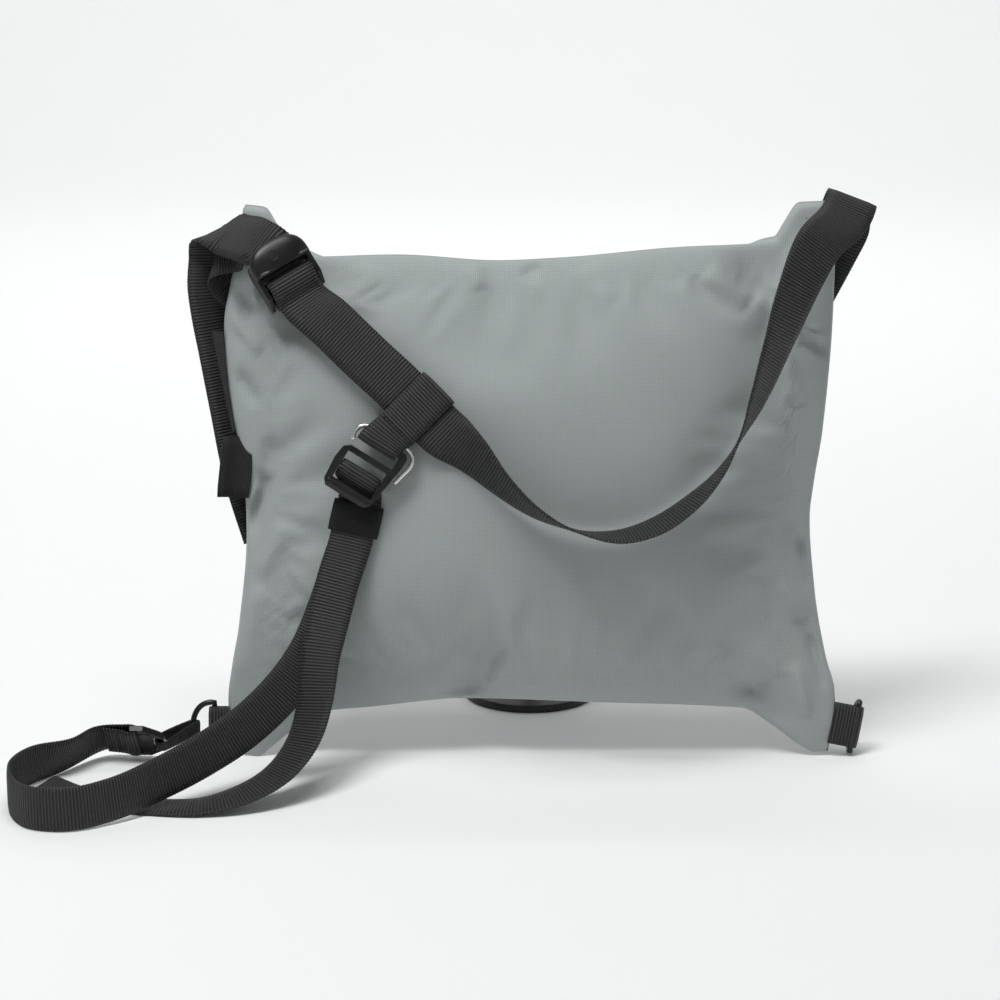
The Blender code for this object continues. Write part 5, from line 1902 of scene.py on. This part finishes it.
@dataclass
class Stabiliser:
    """The stabiliser strap, its tail, the elastic sleeve and the small hook at its far end."""

    web: bpy.types.Material
    band: bpy.types.Material
    acetal: bpy.types.Material
    sewing: Sewing
    sleeve_length: float = 0.018
    elastic: float = 0.0008
    hook_pin: float = 0.0012
    snap_bar: float = 0.0015
    snap_thick: float = 0.0040

    def load(self, hook: Matrix, sleeve: Matrix, snap: Matrix) -> None:
        """Make the loaded strap from the hook round its loop to the small hook.

        Args:
            hook: The hook's frame.
            sleeve: The sleeve's frame.
            snap: The small hook's frame.
        """
        turn = 0.5 * WEB + GAP + self.hook_pin
        rows = [(0.0010, -0.0008 - turn, 0.0, -1.0), (0.0075, -0.0062, 0.0, -1.0)]
        layer = 0.5 * (WEB + GAP)
        stations = seated(hook, rows) + seated(hook, [(0.0112, -0.0091, -0.3, -0.95)], 0.0044)
        stations += straight_run(sleeve, 0, 0.5 * self.sleeve_length + GAP, -layer)
        stations += floor_stations(STABILISER_RUN)
        turn = 0.5 * WEB + GAP + self.snap_bar
        rows = [(-0.0240, -0.0022, 0.0, -1.0), (-0.0150, -turn, 0.0, -1.0)]
        rows += round_bar(-0.0085, 0.0, turn, -90.0, 90.0, 5)
        rows += [(-0.0150, 0.0012, 0.0, 1.0), (-0.0260, 0.0000, 0.0, 1.0)]
        stations += seated(snap, rows)
        ribbon = Ribbon("stabiliser_webbing", SIDE_WEB, self.web).follow(stations)
        own(ribbon.build(), Slot.WEBBING, "stabiliser_strap")
        lines = [ribbon.row(-0.0025, 0.0025), ribbon.row(-0.0085, 0.0025)]
        self.sewing.sew("stabiliser_stitches", lines)

    def tail(self, hook: Matrix, sleeve: Matrix) -> None:
        """Make the free tail from the hook's bar to its end inside the loop.

        Args:
            hook: The hook's frame.
            sleeve: The sleeve's frame.
        """
        turn = 0.5 * WEB + GAP + self.hook_pin
        layer = 0.5 * (WEB + GAP)
        rows = round_bar(0.0010, -0.0008, turn, 180.0, 75.0, 3)
        rows += [(0.0055, 0.0, 0.7, 0.7), (0.0085, -0.0032, 0.6, 0.8)]
        stations = seated(hook, rows) + seated(hook, [(0.0112, -0.0044, 0.3, 0.95)], 0.0040)
        stations += straight_run(sleeve, 0, 0.5 * self.sleeve_length + GAP, layer)
        stations += floor_stations(STABILISER_TAIL)
        ribbon = Ribbon("tail_webbing", SIDE_WEB, self.web).follow(stations)
        own(ribbon.build(), Slot.WEBBING, "stabiliser_tail")
        self.sewing.sew("tail_stitches", [ribbon.row(-0.0050, 0.0020)])

    def sleeve(self, place: Matrix) -> None:
        """Make the elastic sleeve round both layers of the stabiliser.

        Args:
            place: Its frame.
        """
        gap = WEB + 0.5 * GAP + GAP + 0.5 * self.elastic
        ribbon = loop_band("elastic_band", place, 1, 0.5 * SIDE_WEB - 0.0009, gap,
                           self.sleeve_length, self.band, self.elastic, 0.8 * MM)
        own(ribbon.build(), Slot.ELASTIC, "elastic_sleeve")

    def snap(self, place: Matrix) -> None:
        """Make the small hook: a plate with a bar, a slot for the link and an eyelet.

        Args:
            place: Its frame.
        """
        half = 0.5 * self.snap_thick
        slot = 0.5 * SIDE_WEB + GAP
        shape = bmesh.new()
        prism(shape, place, SNAP_OUTLINE, -half, half)
        piece = add_piece("moulded_snap", shape, self.acetal)
        cutters = [block("slot", place, (-0.0110, -slot, -0.01), (-0.0048, slot, 0.01)),
                   block("slot", place, (0.0030, -0.0074, -0.01), (0.0066, 0.0054, 0.01))]
        shape = cut_out(piece, cutters)
        ends = Vector((0.0, slot + 0.0005, 0.0))
        bar, boss = Vector((-0.0085, 0.0, 0.0)), Vector((-0.0012, 0.0080, 0.0))
        rod(shape, place @ (bar - ends), place @ (bar + ends), self.snap_bar)
        rod(shape, place @ boss, place @ (boss + Vector((0.0, 0.0, half + 0.0010))), 0.0032)
        mould(piece, 0.28 * MM, 6, shape)
        own(piece, Slot.MOULDED, "small_hook")

    def link(self, snap: Matrix, ring: Matrix, bow: float) -> None:
        """Make the narrow webbing between the small hook and the left ring.

        Args:
            snap: The small hook's frame.
            ring: The left ring's frame.
            bow: How far the ring is bowed.
        """
        start = snap @ Vector((0.0081, -0.0010, 0.0))
        end = ring @ Vector((bow - GAP, 0.0, 0.0))
        near_side = snap.to_3x3() @ Vector((0.0, 1.0, 0.0))
        far_side = ring.to_3x3() @ Vector((0.0, 1.0, 0.0))
        far = half_turn(end, end - start, far_side, SeamPieces.wire + 2 * GAP + 0.5 * WEB)
        near = half_turn(start, start - end, near_side, 0.0036)
        ribbon = Ribbon("link_band", 0.008, self.band, closed=True, pitch=0.9 * MM)
        ribbon.lay(far + near, [far_side] * len(far) + [near_side] * len(near))
        own(ribbon.build(), Slot.WEBBING, "link_webbing")


@dataclass
class SeamPieces:
    """What is sewn into the side seams: tabs with rings, a twill tab and an end of tape."""

    web: bpy.types.Material
    tape: bpy.types.Material
    acetal: bpy.types.Material
    sewing: Sewing
    wire: float = 0.0015
    bar: float = 0.0150
    bow: float = 0.0130
    tab_width: float = 0.0245
    left_reach: float = 0.0019
    right_reach: float = 0.0041
    side_width: float = 0.036
    root: float = 0.0032

    def ring(self, name: str, place: Matrix, node: str) -> None:
        """Make a D-shaped ring: straight on the frame's y axis and bowed to +x.

        Args:
            name: Name of the piece.
            place: Its frame.
            node: CAD node that it stands for.
        """
        points = []
        for index in range(41):
            angle = math.radians(-90.0 + 180.0 * index / 40)
            points.append(place @ Vector((self.bow * max(math.cos(angle), 0.0) ** 0.75,
                                          self.bar * math.sin(angle), 0.0)))
        start, end = points[-1], points[0]
        points += [start.lerp(end, k / 12) for k in range(1, 12)]
        own(wire_mesh(name, points, self.wire + 0.0002, self.acetal, closed=True), Slot.MOULDED,
            node)

    def tab(self, side: str, at: Row, turn: float, reach: float, bow: float) -> Matrix:
        """Make a webbing tab and the ring in its fold, and return the ring's frame.

        Args:
            side: left or right.
            at: Across, up and off.
            turn: Angle in the bag's plane.
            reach: Half the straight length of its webbing.
            bow: Angle of the ring about its straight bar.

        Returns:
            The ring's frame.
        """
        sign = -1.0 if side == "left" else 1.0
        tab = FORM.seat(at, turn)
        gap = self.wire + GAP + 0.5 * WEB
        ribbon = loop_band(side + "_tab_webbing", tab, 1, reach, gap, self.tab_width, self.web,
                           root=sign * self.root)
        own(ribbon.build(), Slot.WEBBING, side + "_tab")
        upright = Matrix(((0, -1, 0, 0), (1, 0, 0, 0), (0, 0, 1, 0), (0, 0, 0, 1)))
        ring = tab @ Matrix.Translation((0.0, sign * reach, 0.0)) @ upright
        ring = ring @ Matrix.Rotation(bow, 4, "Y")
        self.ring(side + "_moulded_ring", ring, side + "_ring")
        return ring

    def build(self) -> Matrix:
        """Make all of them and return the left ring's frame.

        Returns:
            The left ring's frame.
        """
        left = self.tab("left", LEFT_TAB_AT, 0.0, self.left_reach, math.pi)
        self.tab("right", RIGHT_TAB_AT, RIGHT_TAB_TURN, self.right_reach, math.pi / 2)
        up = FORM.face(0.11, 0.0, 0.99)
        rows = [Station(FORM.beside(across, SIDE_TAB_AT[1], off), Vector((0.0, 1.0, 0.0)), up)
                for across, off in SIDE_TAB_RUN]
        ribbon = Ribbon("side_twill_tab", self.side_width, self.tape, pitch=0.9 * MM).follow(rows)
        own(ribbon.build(), Slot.WEBBING, "side_tab")
        self.edge_tape()
        return left

    def edge_tape(self) -> None:
        """Make the end of tape that stands out of the left seam."""
        place = FORM.seat(TAPE_AT, 0.0)
        shape = bmesh.new()
        prism(shape, place, TAPE_OUTLINE, -0.5 * WEB, 0.5 * WEB)
        piece = add_piece("edge_tape_end", shape, self.tape)
        mould(piece, 0.35 * MM, 3)
        layer = piece.data.uv_layers.new(name="lengths")
        back = place.inverted()
        for loop in piece.data.loops:
            spot = back @ piece.data.vertices[loop.vertex_index].co
            layer.data[loop.index].uv = (spot.x, spot.y)
        own(piece, Slot.WEBBING, "edge_tape")


@dataclass
class DisplayStand:
    """The stand: a round steel foot and a post that leans to the hidden panel."""

    steel: bpy.types.Material
    radius: float = 0.041
    thick: float = 0.005
    post: float = 0.004
    post_up: float = 0.60

    def build(self) -> None:
        """Turn the foot on a lathe and set the post in it."""
        rim = 0.0009
        profile = [(0.0, 0.0), (self.radius - rim, 0.0), (self.radius - 0.3 * rim, 0.3 * rim),
                   (self.radius, rim), (self.radius, self.thick - rim),
                   (self.radius - 0.3 * rim, self.thick - 0.3 * rim),
                   (self.radius - rim, self.thick), (0.009, self.thick),
                   (0.0076, self.thick + 0.0004), (0.0070, self.thick + 0.0016),
                   (0.0, self.thick + 0.0016)]
        foot = add_piece("steel_foot", turned(profile, 120, STAND_BACK), self.steel)
        foot.data.set_sharp_from_angle(angle=math.radians(50.0))
        own(foot, Slot.STEEL, "display_stand")
        top = FORM.beside(0.0, self.post_up, -(self.post + GAP) / FORM.depth)
        bottom = Vector((0.0, STAND_BACK, self.thick - 0.001))
        points = [bottom.lerp(top, k / 12) for k in range(13)]
        own(wire_mesh("steel_post", points, self.post, self.steel, sides=32), Slot.STEEL)


@dataclass
class Studio:
    """Pale paper sweep, soft light and the camera at the photograph's angle."""

    paper: bpy.types.Material
    tilt: float = math.radians(13.0)
    focal: float = 2700.0  # in pixels of a picture 1000 pixels wide
    at: tuple[float, float, float] = (-0.01905, -1.53167, 0.5100)

    def camera(self) -> None:
        """Set the camera."""
        data = bpy.data.cameras.new("camera")
        data.sensor_width = 36.0
        data.lens = self.focal * data.sensor_width / 1000.0
        data.clip_end = 50.0
        camera = bpy.data.objects.new("camera", data)
        camera.location = Vector(self.at) + SHIFT
        camera.rotation_euler = (math.pi / 2 - self.tilt, 0.0, 0.0)
        bpy.context.scene.collection.objects.link(camera)
        bpy.context.scene.camera = camera

    def sweep(self) -> None:
        """Make a floor that curves up into a backdrop all round, far from the bag."""
        profile = [(0.0, 0.0), (1.0, 0.0), (3.0, 0.0)]
        profile += [(3.0 + 2.0 * math.sin(a), 2.0 - 2.0 * math.cos(a))
                    for a in (math.radians(9 * k) for k in range(1, 11))]
        profile += [(5.0, 5.0)]
        shape = turned(profile, 64)
        bmesh.ops.reverse_faces(shape, faces=shape.faces)
        floor = add_piece("paper_sweep", shape, self.paper)

    def light(self, name: str, at: Row, aim: Row, size: float, power: float) -> None:
        """Add a square soft light.

        Args:
            name: Name of the light.
            at: Its place.
            aim: What it points at.
            size: Side of its panel in metres.
            power: Watts.
        """
        data = bpy.data.lights.new(name, "AREA")
        data.size = size
        data.energy = power
        lamp = bpy.data.objects.new(name, data)
        lamp.location = at
        lamp.rotation_euler = (Vector(aim) - Vector(at)).to_track_quat("-Z", "Y").to_euler()
        bpy.context.scene.collection.objects.link(lamp)

    def build(self) -> None:
        """Set the floor, the lights, the sky and the camera."""
        self.camera()
        self.sweep()
        world = bpy.data.worlds.new("soft sky")
        world.use_nodes = True
        ground = world.node_tree.nodes["Background"]
        ground.inputs["Color"].default_value = to_linear("#FFFFFF")
        ground.inputs["Strength"].default_value = 0.13
        bpy.context.scene.world = world
        self.light("key", (-0.62, -0.80, 2.1), (0.0, 0.0, 0.20), 0.7, 24.5)
        self.light("top", (0.05, -0.45, 2.3), (0.0, 0.0, 0.10), 1.0, 17.5)
        self.light("wash", (0.0, 1.6, 3.0), (0.0, 4.6, 0.9), 2.4, 84.0)
        bpy.context.scene.view_settings.view_transform = "Standard"


SHIFT = design_shift()


def main() -> None:
    """Build and dress every sub-assembly, then report."""
    logging.basicConfig(level=logging.INFO, format="%(name)s: %(message)s")
    web, tape, band = STRAP.build(), TWILL.build(), BAND.build()
    acetal = ACETAL.build()
    sewing = Sewing(THREAD.build())
    Studio(PAPER.build()).build()
    snap = (Matrix.Translation(Vector(SNAP_AT)) @ Matrix.Rotation(SNAP_TURN, 4, "Z")
            @ Matrix.Rotation(SNAP_LEAN, 4, "X"))
    buckle = FORM.seat(BUCKLE_AT, BUCKLE_TURN, BUCKLE_TILT)
    keeper = FORM.strap_seat(KEEPER_BEFORE, KEEPER_AT, KEEPER_AFTER)
    hook = FORM.seat(HOOK_AT, HOOK_TURN)
    sleeve = FORM.seat(SLEEVE_AT, SLEEVE_TURN)
    BagShell(CLOTH.build(), LINING.build()).build(sewing)
    strap = ShoulderStrap(web, acetal, sewing)
    strap.main(buckle, keeper)
    strap.adjuster(buckle)
    strap.buckle(buckle)
    gated = WireHook(web, acetal, STAINLESS.build(), sewing)
    gated.keeper(keeper, hook)
    gated.hook(hook)
    gated.gate(hook)
    seams = SeamPieces(web, tape, acetal, sewing)
    ring = seams.build()
    stabiliser = Stabiliser(web, band, acetal, sewing)
    stabiliser.load(hook, sleeve, snap)
    stabiliser.tail(hook, sleeve)
    stabiliser.sleeve(sleeve)
    stabiliser.snap(snap)
    stabiliser.link(snap, ring, seams.bow)
    DisplayStand(COATED.build()).build()
    LOG.info("pieces made for %d nodes", len(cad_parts))


if __name__ == "__main__":
    main()
